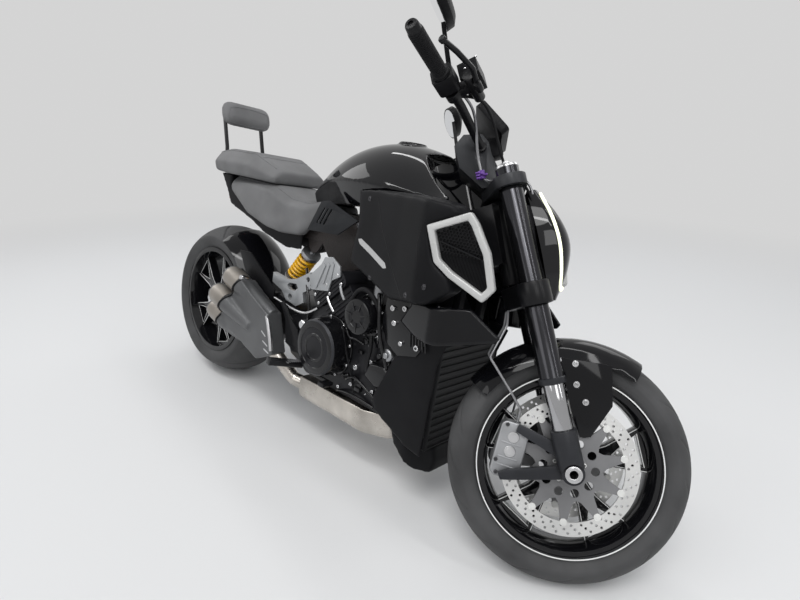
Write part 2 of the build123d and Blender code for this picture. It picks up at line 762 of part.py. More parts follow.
def tank_form(grow):
    with BuildPart() as form:
        for x, half, low, wide, top in tank_sections:
            side, foot = half + grow, 0.75 * half + grow
            with BuildSketch(Plane.YZ.offset(x)):
                with BuildLine():
                    Line((-foot, low - grow), (foot, low - grow))
                    Line((foot, low - grow), (side, wide))
                    ThreePointArc((side, wide), (0, top + grow), (-side, wide))
                    Line((-side, wide), (-foot, low - grow))
                make_face()
        loft()
        with BuildSketch(Plane(fork_plane.location * Location((-fork_offset, 0, 380)))):
            Circle(steering_room - grow)
        extrude(amount=500, mode=Mode.SUBTRACT)
    return form.part


with BuildPart() as fuel_tank:
    add(tank_form(0))
    with BuildSketch(Plane(origin=(cap_x, 0, 1030), z_dir=(sin(radians(cap_tilt)), 0, cos(radians(cap_tilt))))):
        Circle(44)
    extrude(amount=20)
keep(fuel_tank, "fuel_tank", chassis)


# Outline of the engine seen from the side, which its neighbours are cut to fit
def engine_outline(grow):
    with BuildSketch(Plane.XY) as outline:
        Polygon(*case_points, align=None)
        for bank, reach in banks:
            with Locations(Location((crank_x, crank_z, 0), (0, 0, bank))):
                with Locations((reach / 2, 0)):
                    Rectangle(reach, bank_length)
                with Locations((reach + head_height / 2 - 6, 0)):
                    RectangleRounded(head_height, head_length, 20)
        if grow > 0:
            offset(amount=grow, kind=Kind.INTERSECTION)
    return outline.sketch


def engine_form(grow):
    with BuildPart() as form:
        with BuildSketch(Plane.XZ):
            add(engine_outline(grow))
        extrude(amount=head_half + grow, both=True)
    return form.part


# Engine: crankcase and two banks of cylinders, with lugs for the swingarm's spindle
with BuildPart() as engine_block:
    with BuildSketch(Plane.XZ):
        add(engine_outline(0))
    extrude(amount=case_half, both=True)
    for bank, reach in banks:
        with BuildSketch(Plane.XZ):
            with Locations(Location((crank_x, crank_z, 0), (0, 0, bank))):
                with Locations((reach + head_height / 2 - 6, 0)):
                    RectangleRounded(head_height, head_length, 20)
        extrude(amount=head_half, both=True)
    with BuildSketch(Plane.XZ.offset(case_half - lug_thick)):
        with Locations((pivot_x, pivot_z)):
            Circle(lug_radius)
        Polygon((pivot_x, pivot_z + lug_radius), (700, 470), (700, 300), (pivot_x, pivot_z - lug_radius), align=None)
    extrude(amount=lug_thick)
    with BuildSketch(Plane.XZ.offset(-case_half)):
        with Locations((pivot_x, pivot_z)):
            Circle(lug_radius)
        Polygon((pivot_x, pivot_z + lug_radius), (700, 470), (700, 300), (pivot_x, pivot_z - lug_radius), align=None)
    extrude(amount=lug_thick)
    with BuildSketch(Plane.XZ.offset(-case_half)):
        with Locations((pivot_x, pivot_z)):
            Circle(spindle_radius + bolt_gap)
    extrude(amount=2 * case_half, mode=Mode.SUBTRACT)
keep(engine_block, "engine_block", chassis)

# Round covers on the sides of the crankcase, and the open cover round the front sprocket
with BuildPart() as engine_covers:
    for x, z, radius, reach, way in cover_table:
        for inset, start, stop, slope in ((0, 0, reach - 14, 0), (5, reach - 14, reach, 30)):
            with BuildSketch(Plane(origin=(x, -way * (case_half + start), z), x_dir=(1, 0, 0), z_dir=(0, -way, 0))):
                Circle(radius - inset)
            extrude(amount=stop - start, taper=slope)
    with BuildSketch(Plane.XZ.offset(-cover_face - 5)):
        with Locations((output_x, output_z)):
            Circle(cover_radius)
        with Locations((output_x - 40, output_z)):
            Rectangle(80, 2 * cover_radius - 40)
    extrude(amount=5)
    with BuildSketch(Plane.XZ.offset(-cover_face - 5)):
        with Locations((output_x, output_z)):
            Circle(cover_radius)
            Circle(cover_radius - 6, mode=Mode.SUBTRACT)
            Rectangle(3 * cover_radius, 3 * cover_radius, align=(Align.MAX, Align.CENTER), mode=Mode.SUBTRACT)
    extrude(amount=cover_face + 5 - case_half)
keep(engine_covers, "engine_covers", chassis)

# Cast plate on the right of the rear cylinder head
with BuildPart() as head_plate:
    with BuildSketch(Plane.XZ.offset(head_half)):
        Polygon(
            (712, 545), (698, 590), (752, 640), (764, 664), (800, 672), (840, 650), (846, 618), (806, 596), (798, 560), (752, 552),
            align=None,
        )
    extrude(amount=plate_thick)
keep(head_plate, "head_plate", chassis)

# Main frame: one cast box behind the head tube, bolted to the front cylinder head
head_low, head_high = lower_yoke_high + 8, upper_yoke_low - 8
with BuildPart() as main_frame:
    head_plane = Plane(fork_plane.location * Location((-fork_offset, 0, head_low)))
    with BuildSketch(Plane.XZ.offset(-frame_half)):
        Polygon(
            (1281, 908), (1340, 765), (1240, 705), (1150, 640), (1010, 640), (980, 700), (980, 805), (1100, 880), (1192, 874),
            align=None,
        )
    extrude(amount=2 * frame_half)
    with BuildSketch(Plane.XY.offset(500)):
        Polygon(
            (1420, -40), (1420, 40), (1275, 60), (1190, 62), (1120, frame_half), (900, frame_half),
            (900, -frame_half), (1120, -frame_half), (1190, -62), (1275, -60),
            align=None,
        )
    extrude(amount=500, mode=Mode.INTERSECT)
    with BuildSketch(head_plane):
        Circle(head_tube_radius)
    extrude(amount=head_high - head_low)
    with BuildSketch(head_plane):
        Circle(stem_radius + running_gap)
    extrude(amount=head_high - head_low, mode=Mode.SUBTRACT)
    add(engine_form(seat_gap), mode=Mode.SUBTRACT)
    add(tank_form(seat_gap), mode=Mode.SUBTRACT)
keep(main_frame, "main_frame", chassis)

# Rear subframe: a narrow cast spine under the seats, bolted to the rear cylinder head
spine_top = [(80, 812), (400, 788), (560, 742), (640, 750), (720, 806), (979, 806)]
spine_low = [(979, 700), (880, 690), (840, 640), (740, 600), (690, 640), (640, 692), (480, 690), (316, 712), (120, 775)]
with BuildPart() as rear_subframe:
    with BuildSketch(Plane.XZ.offset(-spine_half)):
        Polygon(*spine_top, *spine_low, align=None)
        Polygon((330, 735), (470, 712), (470, 752), (380, 772), align=None, mode=Mode.SUBTRACT)
    extrude(amount=2 * spine_half)
    with BuildSketch(Plane.XZ.offset(-shock_y - lug_outer)):
        Polygon((560, 700), (650, 700), (616, 652), (590, 644), (572, 660), align=None)
    extrude(amount=2 * lug_outer)
    with BuildSketch(Plane.XZ.offset(-shock_y - lug_inner)):
        Polygon((540, 691), (660, 691), (660, 600), (540, 600), align=None)
    extrude(amount=2 * lug_inner, mode=Mode.SUBTRACT)
    add(engine_form(seat_gap), mode=Mode.SUBTRACT)
    add(tank_form(seat_gap), mode=Mode.SUBTRACT)
keep(rear_subframe, "rear_subframe", chassis)

# Seats, by stations
rider_sections = [  # station, half width, bottom of the skirt, top
    (60, 96, 804, 869),
    (250, 132, 732, 866),
    (400, 150, 706, 860),
    (500, 150, 698, 826),
    (585, 132, 704, 820),
    (655, 70, 776, 852),
]
with BuildPart() as rider_seat:
    for x, half, low, top in rider_sections:
        with BuildSketch(Plane.YZ.offset(x)):
            Polygon(
                (-half, low), (half, low), (half + 4, low + 24), (half - 8, top - 22),
                (0.62 * half, top), (-0.62 * half, top), (-half + 8, top - 22), (-half - 4, low + 24),
                align=None,
            )
    loft(ruled=True)
    with BuildSketch(Plane.XZ.offset(-tail_half - seat_gap)):
        Polygon(
            (20, 814 + seat_gap), (58, 814 + seat_gap), (400, 789.5 + seat_gap), (560, 743.5 + seat_gap), (640, 751), (720, 807),
            (720, 600), (20, 600),
            align=None,
        )
    extrude(amount=2 * (tail_half + seat_gap), mode=Mode.SUBTRACT)
    add(tank_form(seat_gap), mode=Mode.SUBTRACT)
keep(rider_seat, "rider_seat", chassis)

passenger_sections = [  # station, half width, bottom, top
    (-112, 66, 902, 936),
    (-40, 122, 873, 958),
    (60, 140, 869, 970),
    (250, 146, 866, 966),
    (400, 128, 860, 908),
]
with BuildPart() as passenger_seat:
    for x, half, low, top in passenger_sections:
        with BuildSketch(Plane.YZ.offset(x)):
            mid = low + 0.45 * (top - low)
            Polygon(
                (-half + 10, low + seat_gap), (half - 10, low + seat_gap), (half, mid),
                (0.72 * half, top), (-0.72 * half, top), (-half, mid),
                align=None,
            )
    loft(ruled=True)
    for side in (-stay_y, stay_y):
        with BuildSketch(Plane.XZ.offset(-side - stay_thick / 2 - seat_gap)):
            Polygon(
                (stay_foot[0] - stay_wide / 2 - 1, stay_foot[1] - 10), (stay_foot[0] + stay_wide / 2 + 3, stay_foot[1] - 10),
                (stay_knee[0] + stay_wide / 2 + 3, stay_knee[1]), (stay_knee[0] - stay_wide / 2 - 2, stay_knee[1]),
                align=None,
            )
        extrude(amount=stay_thick + 2 * seat_gap, mode=Mode.SUBTRACT)
keep(passenger_seat, "passenger_seat", chassis)

# Backrest: two flat stays that stand on the tail, and a pad across their tops
with BuildPart() as backrest_stays:
    for side in (-stay_y, stay_y):
        with BuildSketch(Plane.XZ.offset(-side - stay_thick / 2)):
            Polygon(
                (stay_foot[0] - stay_wide / 2, stay_foot[1]), (stay_foot[0] + stay_wide / 2, stay_foot[1]),
                (stay_knee[0] + stay_wide / 2, stay_knee[1]), (stay_head[0] + stay_wide / 2, stay_head[1]),
                (stay_head[0] - stay_wide / 2, stay_head[1]), (stay_knee[0] - stay_wide / 2, stay_knee[1]),
                align=None,
            )
        extrude(amount=stay_thick)
    with BuildSketch(Plane.XZ.offset(-stay_y)):
        Polygon(
            (stay_head[0] - stay_wide / 2, stay_head[1] - 22), (stay_head[0] - stay_wide / 2 + 5, stay_head[1] - 22),
            (stay_head[0] - stay_wide / 2 + 5, stay_head[1]), (stay_head[0] - stay_wide / 2, stay_head[1]),
            align=None,
        )
    extrude(amount=2 * stay_y)
keep(backrest_stays, "backrest_stays", chassis)

stay_rise, stay_back = stay_head[1] - stay_knee[1], stay_knee[0] - stay_head[0]
pad_x = stay_knee[0] - stay_back * (pad_height - stay_knee[1]) / stay_rise + stay_wide / 2 + seat_gap
pad_plane = Plane(origin=(pad_x, 0, pad_height), x_dir=(0, 1, 0), z_dir=(stay_rise, 0, stay_back))
with BuildPart() as backrest_pad:
    for depth, shrink in ((0, 8), (12, 0), (30, 4), (44, 26)):
        wide, high = pad_half_width - shrink, pad_half_height - shrink
        with BuildSketch(pad_plane.offset(depth)):
            Polygon(
                (wide, 0.4 * high), (wide - 0.25 * high, 0.85 * high), (wide - 0.7 * high, high),
                (0.7 * high - wide, high), (0.25 * high - wide, 0.85 * high), (-wide, 0.4 * high),
                (-wide, -0.4 * high), (0.25 * high - wide, -0.85 * high), (0.7 * high - wide, -high),
                (wide - 0.7 * high, -high), (wide - 0.25 * high, -0.85 * high), (wide, -0.4 * high),
                align=None,
            )
    loft(ruled=True)
keep(backrest_pad, "backrest_pad", chassis)

# Tail: a shell round the rear of the subframe, with its lamp in the rear face
tail_outline = [
    (-25, 868), (30, 800), (62, 750), (225, 706), (316, 672), (470, 640), (560, 650),
    (560, 743.5), (400, 789.5), (58, 814), (58, 868),
]
with BuildPart() as tail_unit:
    with BuildSketch(Plane.XZ.offset(-tail_half)):
        Polygon(*tail_outline, align=None)
    extrude(amount=2 * tail_half)
    with BuildSketch(Plane.XZ.offset(-spine_half - seat_gap)):
        Polygon(*spine_top, *spine_low, align=None)
        offset(amount=seat_gap, kind=Kind.INTERSECTION)
    extrude(amount=2 * (spine_half + seat_gap), mode=Mode.SUBTRACT)
    with BuildSketch(Plane.XZ.offset(-shock_y - shock_room)):
        Polygon((430, 705), (660, 705), (660, 600), (430, 600), align=None)
    extrude(amount=2 * shock_room, mode=Mode.SUBTRACT)
keep(tail_unit, "tail_unit", chassis)

with BuildPart() as tail_lamp:
    with BuildSketch(Plane(origin=(46, 0, 775), x_dir=(0, 1, 0), z_dir=(-50, 0, -32)).offset(seat_gap)):
        with Locations((-50, 0), (50, 0)):
            SlotOverall(76, 20)
    extrude(amount=8)
keep(tail_lamp, "tail_lamp", chassis)

# Covers below the tank at the front corners of the seat, each with three slots
with BuildPart() as side_covers:
    with BuildSketch(Plane.XZ.offset(cover_y)):
        Polygon((650, 735), (708, 836), (745, 842), (886, 799), (800, 742), align=None)
        for slot in range(3):
            with Locations(Location((712 + 17 * slot, 790, 0), (0, 0, 58))):
                SlotOverall(64, 7, mode=Mode.SUBTRACT)
    extrude(amount=6)
    with BuildSketch(Plane.XZ.offset(spine_half)):
        with Locations((742, 772)):
            Circle(12)
    extrude(amount=cover_y - spine_half)
    mirror(about=Plane.XZ)
keep(side_covers, "side_covers", chassis)

# Intake rings: a many-sided loop on each side, facing ahead and outwards
ring_place = Plane(
    origin=(1330, -231, 780),
    x_dir=(cos(radians(ring_turn)), sin(radians(ring_turn)), 0),
    z_dir=(sin(radians(ring_turn)), -cos(radians(ring_turn)), 0),
)
ring_corners = [(-98, 58), (-65, -27), (-24, -55), (69, -97), (94, -63), (67, 19), (26, 83), (6, 105)]


def ring_sketch(shrink):
    with BuildSketch(Plane.XY) as outline:
        Polygon(*ring_corners, align=None)
        fillet(outline.vertices(), 11)
        if shrink != 0:
            offset(amount=-shrink, kind=Kind.INTERSECTION)
    return outline.sketch


with BuildPart() as intake_rings:
    for shrink, start, stop in ((0, -ring_depth, -6), (4, -6, 0)):
        with BuildSketch(ring_place.offset(start)):
            add(ring_sketch(shrink))
            add(ring_sketch(ring_width - shrink / 2), mode=Mode.SUBTRACT)
        extrude(amount=stop - start)
    mirror(about=Plane.XZ)
keep(intake_rings, "intake_rings", chassis)

# Grilles: a honeycomb plate behind each ring, with one vane across it
with BuildPart() as intake_grilles:
    with BuildSketch(ring_place.offset(-ring_depth + 2)):
        add(ring_sketch(ring_width + seat_gap))
        with Locations((0, -6)):
            with HexLocations(cell_size, column_count, row_count, major_radius=False):
                RegularPolygon(cell_size - cell_wall, 6, major_radius=False, rotation=30, mode=Mode.SUBTRACT)
    extrude(amount=3)
    with BuildSketch(ring_place.offset(-ring_depth + 5)):
        with Locations(Location((0, 12, 0), (0, 0, -14))):
            Rectangle(100, 4)
    extrude(amount=10)
    mirror(about=Plane.XZ)
keep(intake_grilles, "intake_grilles", chassis)

# Side panels, swelling outwards to the rings
with BuildPart() as side_panels:
    with BuildSketch(Plane.XZ.offset(panel_outer)):
        Polygon(
            (907, 801), (890, 905), (1200, 905), (1290, 898), (1320, 860), (1300, 740), (1320, 690), (1257, 643), (1113, 617),
            (887, 675),
            align=None,
        )
    extrude(amount=-panel_outer + frame_half + seat_gap)
    with BuildSketch(ring_place.offset(-ring_depth - seat_gap)):
        add(ring_sketch(2))
    extrude(amount=-duct_depth)
    with BuildSketch(Plane.XY.offset(500)):
        Polygon(
            (880, -frame_half - seat_gap), (880, -166), (1000, -190), (1120, -222), (1232, -panel_outer), (1450, -194),
            (1345, -174), (1290, -166), (1180, -frame_half - seat_gap),
            align=None,
        )
    extrude(amount=500, mode=Mode.INTERSECT)
    add(tank_form(1), mode=Mode.SUBTRACT)
    with BuildSketch(ring_place.offset(2)):
        add(ring_sketch(-seat_gap))
    extrude(amount=-ring_depth - 2 - seat_gap, mode=Mode.SUBTRACT)
    with BuildSketch(ring_place):
        add(ring_sketch(ring_width))
    extrude(amount=-ring_depth - duct_open, mode=Mode.SUBTRACT)
    mirror(about=Plane.XZ)
keep(side_panels, "side_panels", chassis)

# Silencer: three round lobes side by side on a flat body, each ending in an open tip
lobe_back, lobe_down = along(lobe_angle, 1), along(strap_angle, 1)


def silencer_body(grow):
    with BuildPart() as body:
        with BuildSketch(Plane.XZ.offset(-silencer_y - 32 - grow)):
            Polygon((372, 500), (450, 462), (557, 419), (604, 285), (510, 238), (398, 272), (226, 310), align=None)
            if grow > 0:
                offset(amount=grow, kind=Kind.INTERSECTION)
        extrude(amount=64 + 2 * grow)
        for lobe, (lobe_length, stand_out) in enumerate(lobe_table):
            mouth = Vector(
                strap_point[0] + lobe_down[0] * lobe_pitch * lobe,
                silencer_y - stand_out,
                strap_point[1] + lobe_down[1] * lobe_pitch * lobe,
            )
            mouth_plane = Plane(origin=mouth, x_dir=(0, 1, 0), z_dir=(lobe_back[0], 0, lobe_back[1]))
            with BuildSketch(mouth_plane.offset(-lobe_length)):
                Circle(lobe_radius - 20 + grow)
            with BuildSketch(mouth_plane):
                Circle(lobe_radius + grow)
            loft()
            with BuildSketch(mouth_plane):
                Circle(lobe_radius - 2 + grow)
                Circle(lobe_radius - 6, mode=Mode.SUBTRACT)
            extrude(amount=tip_length)
    return body.part


# Exhaust: pipes down the front of the engine, a flat collector below it and a link to the silencer
with BuildPart() as exhaust_collector:
    with BuildSketch(Plane.XY.offset(collector_low)):
        Polygon((700, -148), (1010, -140), (1090, -96), (1118, -40), (1118, 60), (1060, 96), (760, 96), (700, 40), align=None)
    extrude(amount=collector_high - collector_low)
    fillet(exhaust_collector.edges().group_by(Axis.Z)[0], 26)
keep(exhaust_collector, "exhaust_collector", chassis)

with BuildPart() as exhaust_pipes:
    for side in (-58, 58):
        with BuildLine() as pipe_line:
            FilletPolyline((1150, side, 500), (1166, side, 440), (1166, side, 240), (1119, side * 0.6, 192), radius=30)
        with BuildSketch(Plane(pipe_line.line @ 0, z_dir=pipe_line.line % 0)):
            Circle(pipe_radius)
        sweep()
    with BuildLine() as link_line:
        FilletPolyline((699, -118, 196), (650, -132, 200), (566, silencer_y, 290), radius=40)
    with BuildSketch(Plane(link_line.line @ 0, z_dir=link_line.line % 0)):
        Circle(link_radius)
    sweep()
    add(silencer_body(seat_gap), mode=Mode.SUBTRACT)
    add(engine_form(seat_gap), mode=Mode.SUBTRACT)
    add(exhaust_collector.part, mode=Mode.SUBTRACT)
keep(exhaust_pipes, "exhaust_pipes", chassis)

with BuildPart() as silencer:
    add(silencer_body(0))
keep(silencer, "silencer", chassis)

# Single-sided swingarm: its spindle, a cross body ahead of the tyre and one arm on the left
with BuildPart() as swingarm:
    with BuildSketch(Plane.XZ.offset(-arm_outer)):
        Polygon(
            (650, 432), (650, 352), (560, 330), (300, 292), (40, 250), (-70, 280), (-84, 330), (-60, 386), (20, 404), (330, 440),
            (470, 470), (600, 452),
            align=None,
        )
    extrude(amount=300)
    with BuildSketch(Plane.XY.offset(200)):
        Polygon(
            (650, -arm_front_half), (440, -arm_front_half), (356, -40), (356, 100), (330, arm_inner), (-90, arm_inner),
            (-90, arm_outer), (440, arm_outer), (560, arm_front_half), (650, arm_front_half),
            align=None,
        )
    extrude(amount=400, mode=Mode.INTERSECT)
    with BuildSketch(Plane.XZ.offset(-arm_outer)):
        with Locations((0, rear_tyre_radius)):
            Circle(carrier_radius)
    extrude(amount=arm_outer - carrier_inner)
    with BuildSketch(Plane.XZ.offset(case_half)):
        with Locations((pivot_x, pivot_z)):
            Circle(spindle_radius)
    extrude(amount=-2 * case_half)
    for start in (-shock_y - lug_outer, -shock_y + lug_inner):
        with BuildSketch(Plane.XZ.offset(start)):
            Polygon((410, 440), (424, 496), (446, 508), (468, 496), (500, 440), align=None)
        extrude(amount=lug_outer - lug_inner)
    with BuildSketch(Plane.XZ.offset(-arm_outer)):
        with Locations((0, rear_tyre_radius)):
            Circle(rear_axle_radius + running_gap)
    extrude(amount=arm_outer - carrier_inner, mode=Mode.SUBTRACT)
keep(swingarm, "swingarm", chassis)

# Shock absorber between the lugs of the swingarm and of the subframe
shock_way = (shock_high - shock_low).normalized()
shock_length = (shock_high - shock_low).length
shock_plane = Plane(origin=shock_low, x_dir=(0, 1, 0), z_dir=shock_way)
with BuildPart() as shock_absorber:
    with BuildSketch(shock_plane):
        Circle(9)
    extrude(amount=shock_length)
    with BuildSketch(shock_plane.offset(spring_start - 9)):
        Circle(spring_radius + spring_wire)
    extrude(amount=9)
    with BuildSketch(shock_plane.offset(spring_start + spring_length)):
        Circle(spring_radius + spring_wire)
    extrude(amount=14)
    for eye in (shock_low, shock_high):
        with BuildSketch(Plane(origin=(eye.X, shock_y + lug_inner - seat_gap, eye.Z), x_dir=(1, 0, 0), z_dir=(0, -1, 0))):
            Circle(14)
        extrude(amount=2 * (lug_inner - seat_gap))
keep(shock_absorber, "shock_absorber", chassis)

with BuildPart() as shock_spring:
    turn_pitch = spring_length / turn_count
    for turn in range(turn_count):
        middle = shock_plane.offset(spring_start + (turn + 0.5) * turn_pitch)
        with BuildSketch(middle.offset(-spring_wire)):
            Circle(spring_radius + spring_wire)
            Circle(spring_radius - spring_wire, mode=Mode.SUBTRACT)
        extrude(amount=2 * spring_wire)
    with BuildSketch(shock_plane.offset(spring_start)):
        Circle(spring_radius - spring_wire + 1)
        Circle(spring_radius - spring_wire - 2, mode=Mode.SUBTRACT)
    extrude(amount=spring_length)
keep(shock_spring, "shock_spring", chassis)

# Rear hugger: a mudguard over the front of the tyre
with BuildPart() as rear_hugger:
    with BuildSketch(wheel_profile_plane):
        add(guard_profile(hugger_half, rear_shoulder + hugger_gap - 4, rear_tyre_radius + hugger_gap, hugger_wall))
    revolve(axis=Axis.Y)
    with BuildSketch(Plane.XZ.offset(-2 * hugger_half)):
        far = 600
        Polygon(
            (0, 0), along(hugger_rear_angle, far), (-far, far), (-far, -far), (far, -far), along(hugger_front_angle, far),
            align=None,
        )
    extrude(amount=4 * hugger_half, mode=Mode.SUBTRACT)
    with BuildSketch(Plane.XZ.offset(-arm_inner)):
        with Locations(along(hugger_front_angle + 4, rear_shoulder + 24)):
            Circle(9)
    extrude(amount=arm_inner - hugger_half + hugger_gap + hugger_wall)
keep(rear_hugger, "rear_hugger", chassis * Location((0, 0, rear_tyre_radius)))

# Rear caliper, on a plate bolted to the inner face of the hub carrier
with BuildPart() as rear_caliper:
    with BuildSketch(Plane.XZ.offset(-carrier_inner + seat_gap)):
        Circle(carrier_radius - 6)
        Circle(rear_axle_radius + 4, mode=Mode.SUBTRACT)
        with Locations(Location((0, 0, 0), (0, 0, rear_caliper_angle))):
            with Locations((104, 0)):
                Rectangle(90, 60)
    extrude(amount=11)
    with BuildSketch(Plane.XZ.offset(-carrier_inner + seat_gap)):
        with Locations(Location((0, 0, 0), (0, 0, rear_caliper_angle))):
            with Locations((128, 0)):
                RectangleRounded(60, 104, 14)
    extrude(amount=carrier_inner - 22)
    with BuildSketch(Plane.XZ.offset(-rear_disc_face - rear_disc_thick - clear_of_moving)):
        Circle(rear_disc_radius + clear_of_moving)
    extrude(amount=rear_disc_thick + 2 * clear_of_moving, mode=Mode.SUBTRACT)
keep(rear_caliper, "rear_caliper", chassis * Location((0, 0, rear_tyre_radius)))

# Guards on the arm: one over the chain, and a flat cheek ahead of the tyre on the right
chain_rise = rear_pitch_r + chain_half_height
chain_fall = (output_z + front_pitch_r - rear_tyre_radius - rear_pitch_r) / output_x


def guard_low(x):
    """The lower face of the chain guard, above the chain's top run."""
    return rear_tyre_radius + chain_rise + chain_fall * x + clear_of_moving + 6


with BuildPart() as arm_guards:
    with BuildSketch(Plane.XZ.offset(-arm_outer - guard_reach)):
        Polygon((60, guard_low(60)), (60, guard_low(60) + 4), (520, guard_low(520) + 4), (520, guard_low(520)), align=None)
    extrude(amount=guard_reach - seat_gap)
    with BuildSketch(Plane.XZ.offset(-arm_outer - 3 - seat_gap)):
        for tab_x, foot_z in ((140, 400), (400, 440)):
            top = guard_low(tab_x) + 3
            Polygon((tab_x - 20, foot_z), (tab_x + 20, foot_z), (tab_x + 40, top), (tab_x - 40, top), align=None)
    extrude(amount=3)
    with BuildSketch(Plane.XZ.offset(hugger_half + seat_gap)):
        Polygon((224, 585), (286, 494), (400, 440), (470, 440), (478, 485), (420, 520), (300, 590), align=None)
    extrude(amount=5)
    with BuildSketch(Plane.XZ.offset(arm_front_half - 12)):
        Polygon((400, 440), (470, 440), (478, 471), (400, 471), align=None)
    extrude(amount=hugger_half + seat_gap - arm_front_half + 12)
    add(swingarm.part, mode=Mode.SUBTRACT)
keep(arm_guards, "arm_guards", chassis)

# Radiator: a core in a frame, behind the front wheel
with BuildPart() as radiator:
    with BuildSketch(Plane.YZ.offset(radiator_rear)):
        with Locations((0, (radiator_low + radiator_high) / 2)):
            RectangleRounded(2 * radiator_half, radiator_high - radiator_low, 12)
    extrude(amount=radiator_front - radiator_rear)
    with BuildSketch(Plane.YZ.offset(radiator_front)):
        for row in range(fin_count):
            with Locations((0, radiator_low + (row + 0.5) * (radiator_high - radiator_low) / fin_count)):
                Rectangle(2 * radiator_half - 40, fin_slot)
    extrude(amount=-fin_depth, mode=Mode.SUBTRACT)
    with BuildSketch(Plane.YZ.offset(radiator_rear)):
        with Locations((-60, 560), (60, 560)):
            Rectangle(24, 2 * (560 - radiator_high) + 6)
    extrude(amount=16)
    with BuildSketch(Plane.XZ.offset(-72)):
        Polygon((radiator_rear, 560), (radiator_rear + 16, 560), (1250, 712), (1222, 700), align=None)
    extrude(amount=24)
    with BuildSketch(Plane.XZ.offset(48)):
        Polygon((radiator_rear, 560), (radiator_rear + 16, 560), (1250, 712), (1222, 700), align=None)
    extrude(amount=24)
    add(main_frame.part, mode=Mode.SUBTRACT)
keep(radiator, "radiator", chassis)

# Radiator cowls and the blades above them
with BuildPart() as radiator_cowls:
    with BuildSketch(Plane.XZ.offset(radiator_half + seat_gap)):
        Polygon(
            (1052, 300), (1066, 262), (1200, 205), (1262, 196), (1268, 470), (1292, 545), (1240, 560), (1150, 545), (1110, 440),
            align=None,
        )
    extrude(amount=8)
    mirror(about=Plane.XZ)
keep(radiator_cowls, "radiator_cowls", chassis)

with BuildPart() as side_blades:
    with BuildSketch(Plane.XZ.offset(240)):
        Polygon((1130, 560), (1190, 640), (1268, 640), (1362, 658), (1440, 604), (1430, 588), (1300, 546), (1220, 540), align=None)
    extrude(amount=-240 + radiator_half + seat_gap)
    with BuildSketch(Plane.XY.offset(500)):
        Polygon(
            (1120, -radiator_half - seat_gap), (1130, -178), (1268, -228), (1300, -226), (1450, -170), (1446, -160), (1300, -200),
            (1270, -190), (1240, -radiator_half - seat_gap),
            align=None,
        )
    extrude(amount=300, mode=Mode.INTERSECT)
    add(radiator_cowls.part, mode=Mode.SUBTRACT)
    add(side_panels.part, mode=Mode.SUBTRACT)
    mirror(about=Plane.XZ)
keep(side_blades, "side_blades", chassis)

# Belly pan, from the chin below the radiator back along the crankcase
with BuildPart() as belly_pan:
    with BuildSketch(Plane.XZ.offset(-radiator_half)):
        Polygon(
            (1125, 245), (1150, 190), (1222, 132), (1262, 126), (1268, 168), (1262, 212), (1205, 212), (1190, 260), (1125, 262),
            align=None,
        )
    extrude(amount=2 * radiator_half)
    with BuildSketch(Plane.XY.offset(100)):
        Polygon(
            (1100, -radiator_half), (1200, -radiator_half), (1270, -88), (1270, 88), (1200, radiator_half), (1100, radiator_half),
            align=None,
        )
    extrude(amount=200, mode=Mode.INTERSECT)
    add(exhaust_pipes.part, mode=Mode.SUBTRACT)
keep(belly_pan, "belly_pan", chassis)

# Footrests: a bracket on each side of the crankcase, with a peg, a pedal and its toe pad, and a heel
# plate on the right
with BuildPart() as footrests:
    with BuildSketch(Plane.XZ.offset(bracket_y)):
        Polygon(
            (peg_x + 40, peg_z - 22), (peg_x + 40, peg_z - 14), (peg_x + 14, peg_z + 2), (peg_x - 6, peg_z + 18),
            (peg_x - 66, peg_z + 28),
            (peg_x - 110, peg_z + 26), (peg_x - 96, peg_z + 4), (peg_x - 14, peg_z - 24),
            align=None,
        )
    extrude(amount=8)
    with BuildSketch(Plane.XZ.offset(case_half)):
        with Locations((peg_x - 56, peg_z + 12), (peg_x + 20, peg_z - 8)):
            Circle(12)
    extrude(amount=bracket_y - case_half)
    with BuildSketch(Plane.XZ.offset(bracket_y + 8)):
        with Locations((peg_x, peg_z)):
            Circle(10)
    extrude(amount=32)
    with BuildSketch(Plane(origin=(peg_x, -bracket_y - 36, peg_z), x_dir=(110, -30, 0), z_dir=peg_way)):
        RectangleRounded(34, 22, 8)
    extrude(amount=peg_length)
    with BuildSketch(Plane.XZ.offset(bracket_y + 12)):
        Polygon(
            (peg_x - 10, peg_z - 16), (peg_x + 6, peg_z - 6), (peg_x + 20, peg_z - 18), (peg_x + 142, peg_z - 17),
            (peg_x + 140, peg_z - 27), (peg_x + 10, peg_z - 28),
            align=None,
        )
    extrude(amount=8)
    with BuildSketch(Plane.XZ.offset(bracket_y + 20)):
        with Locations((peg_x + 128, peg_z - 22)):
            RectangleRounded(28, 14, 5)
    extrude(amount=34)
    mirror(about=Plane.XZ)
    with BuildSketch(Plane.XZ.offset(bracket_y)):
        Polygon(
            (peg_x - 60, peg_z + 24), (peg_x - 60, peg_z + 40), (peg_x - 76, peg_z + 91), (peg_x - 128, peg_z + 126),
            (peg_x - 174, peg_z + 172), (peg_x - 188, peg_z + 160), (peg_x - 150, peg_z + 110), (peg_x - 138, peg_z + 30),
            (peg_x - 110, peg_z + 20),
            align=None,
        )
    extrude(amount=6)
keep(footrests, "footrests", chassis)

# Side stand.  Its hinge is square to the leg both open and folded
floor = Plane(chassis.inverse())


def on_floor(x, y):
    drop = floor.z_dir.X * (x - floor.origin.X) + floor.z_dir.Y * (y - floor.origin.Y)
    return Vector(x, y, floor.origin.Z - drop / floor.z_dir.Z)


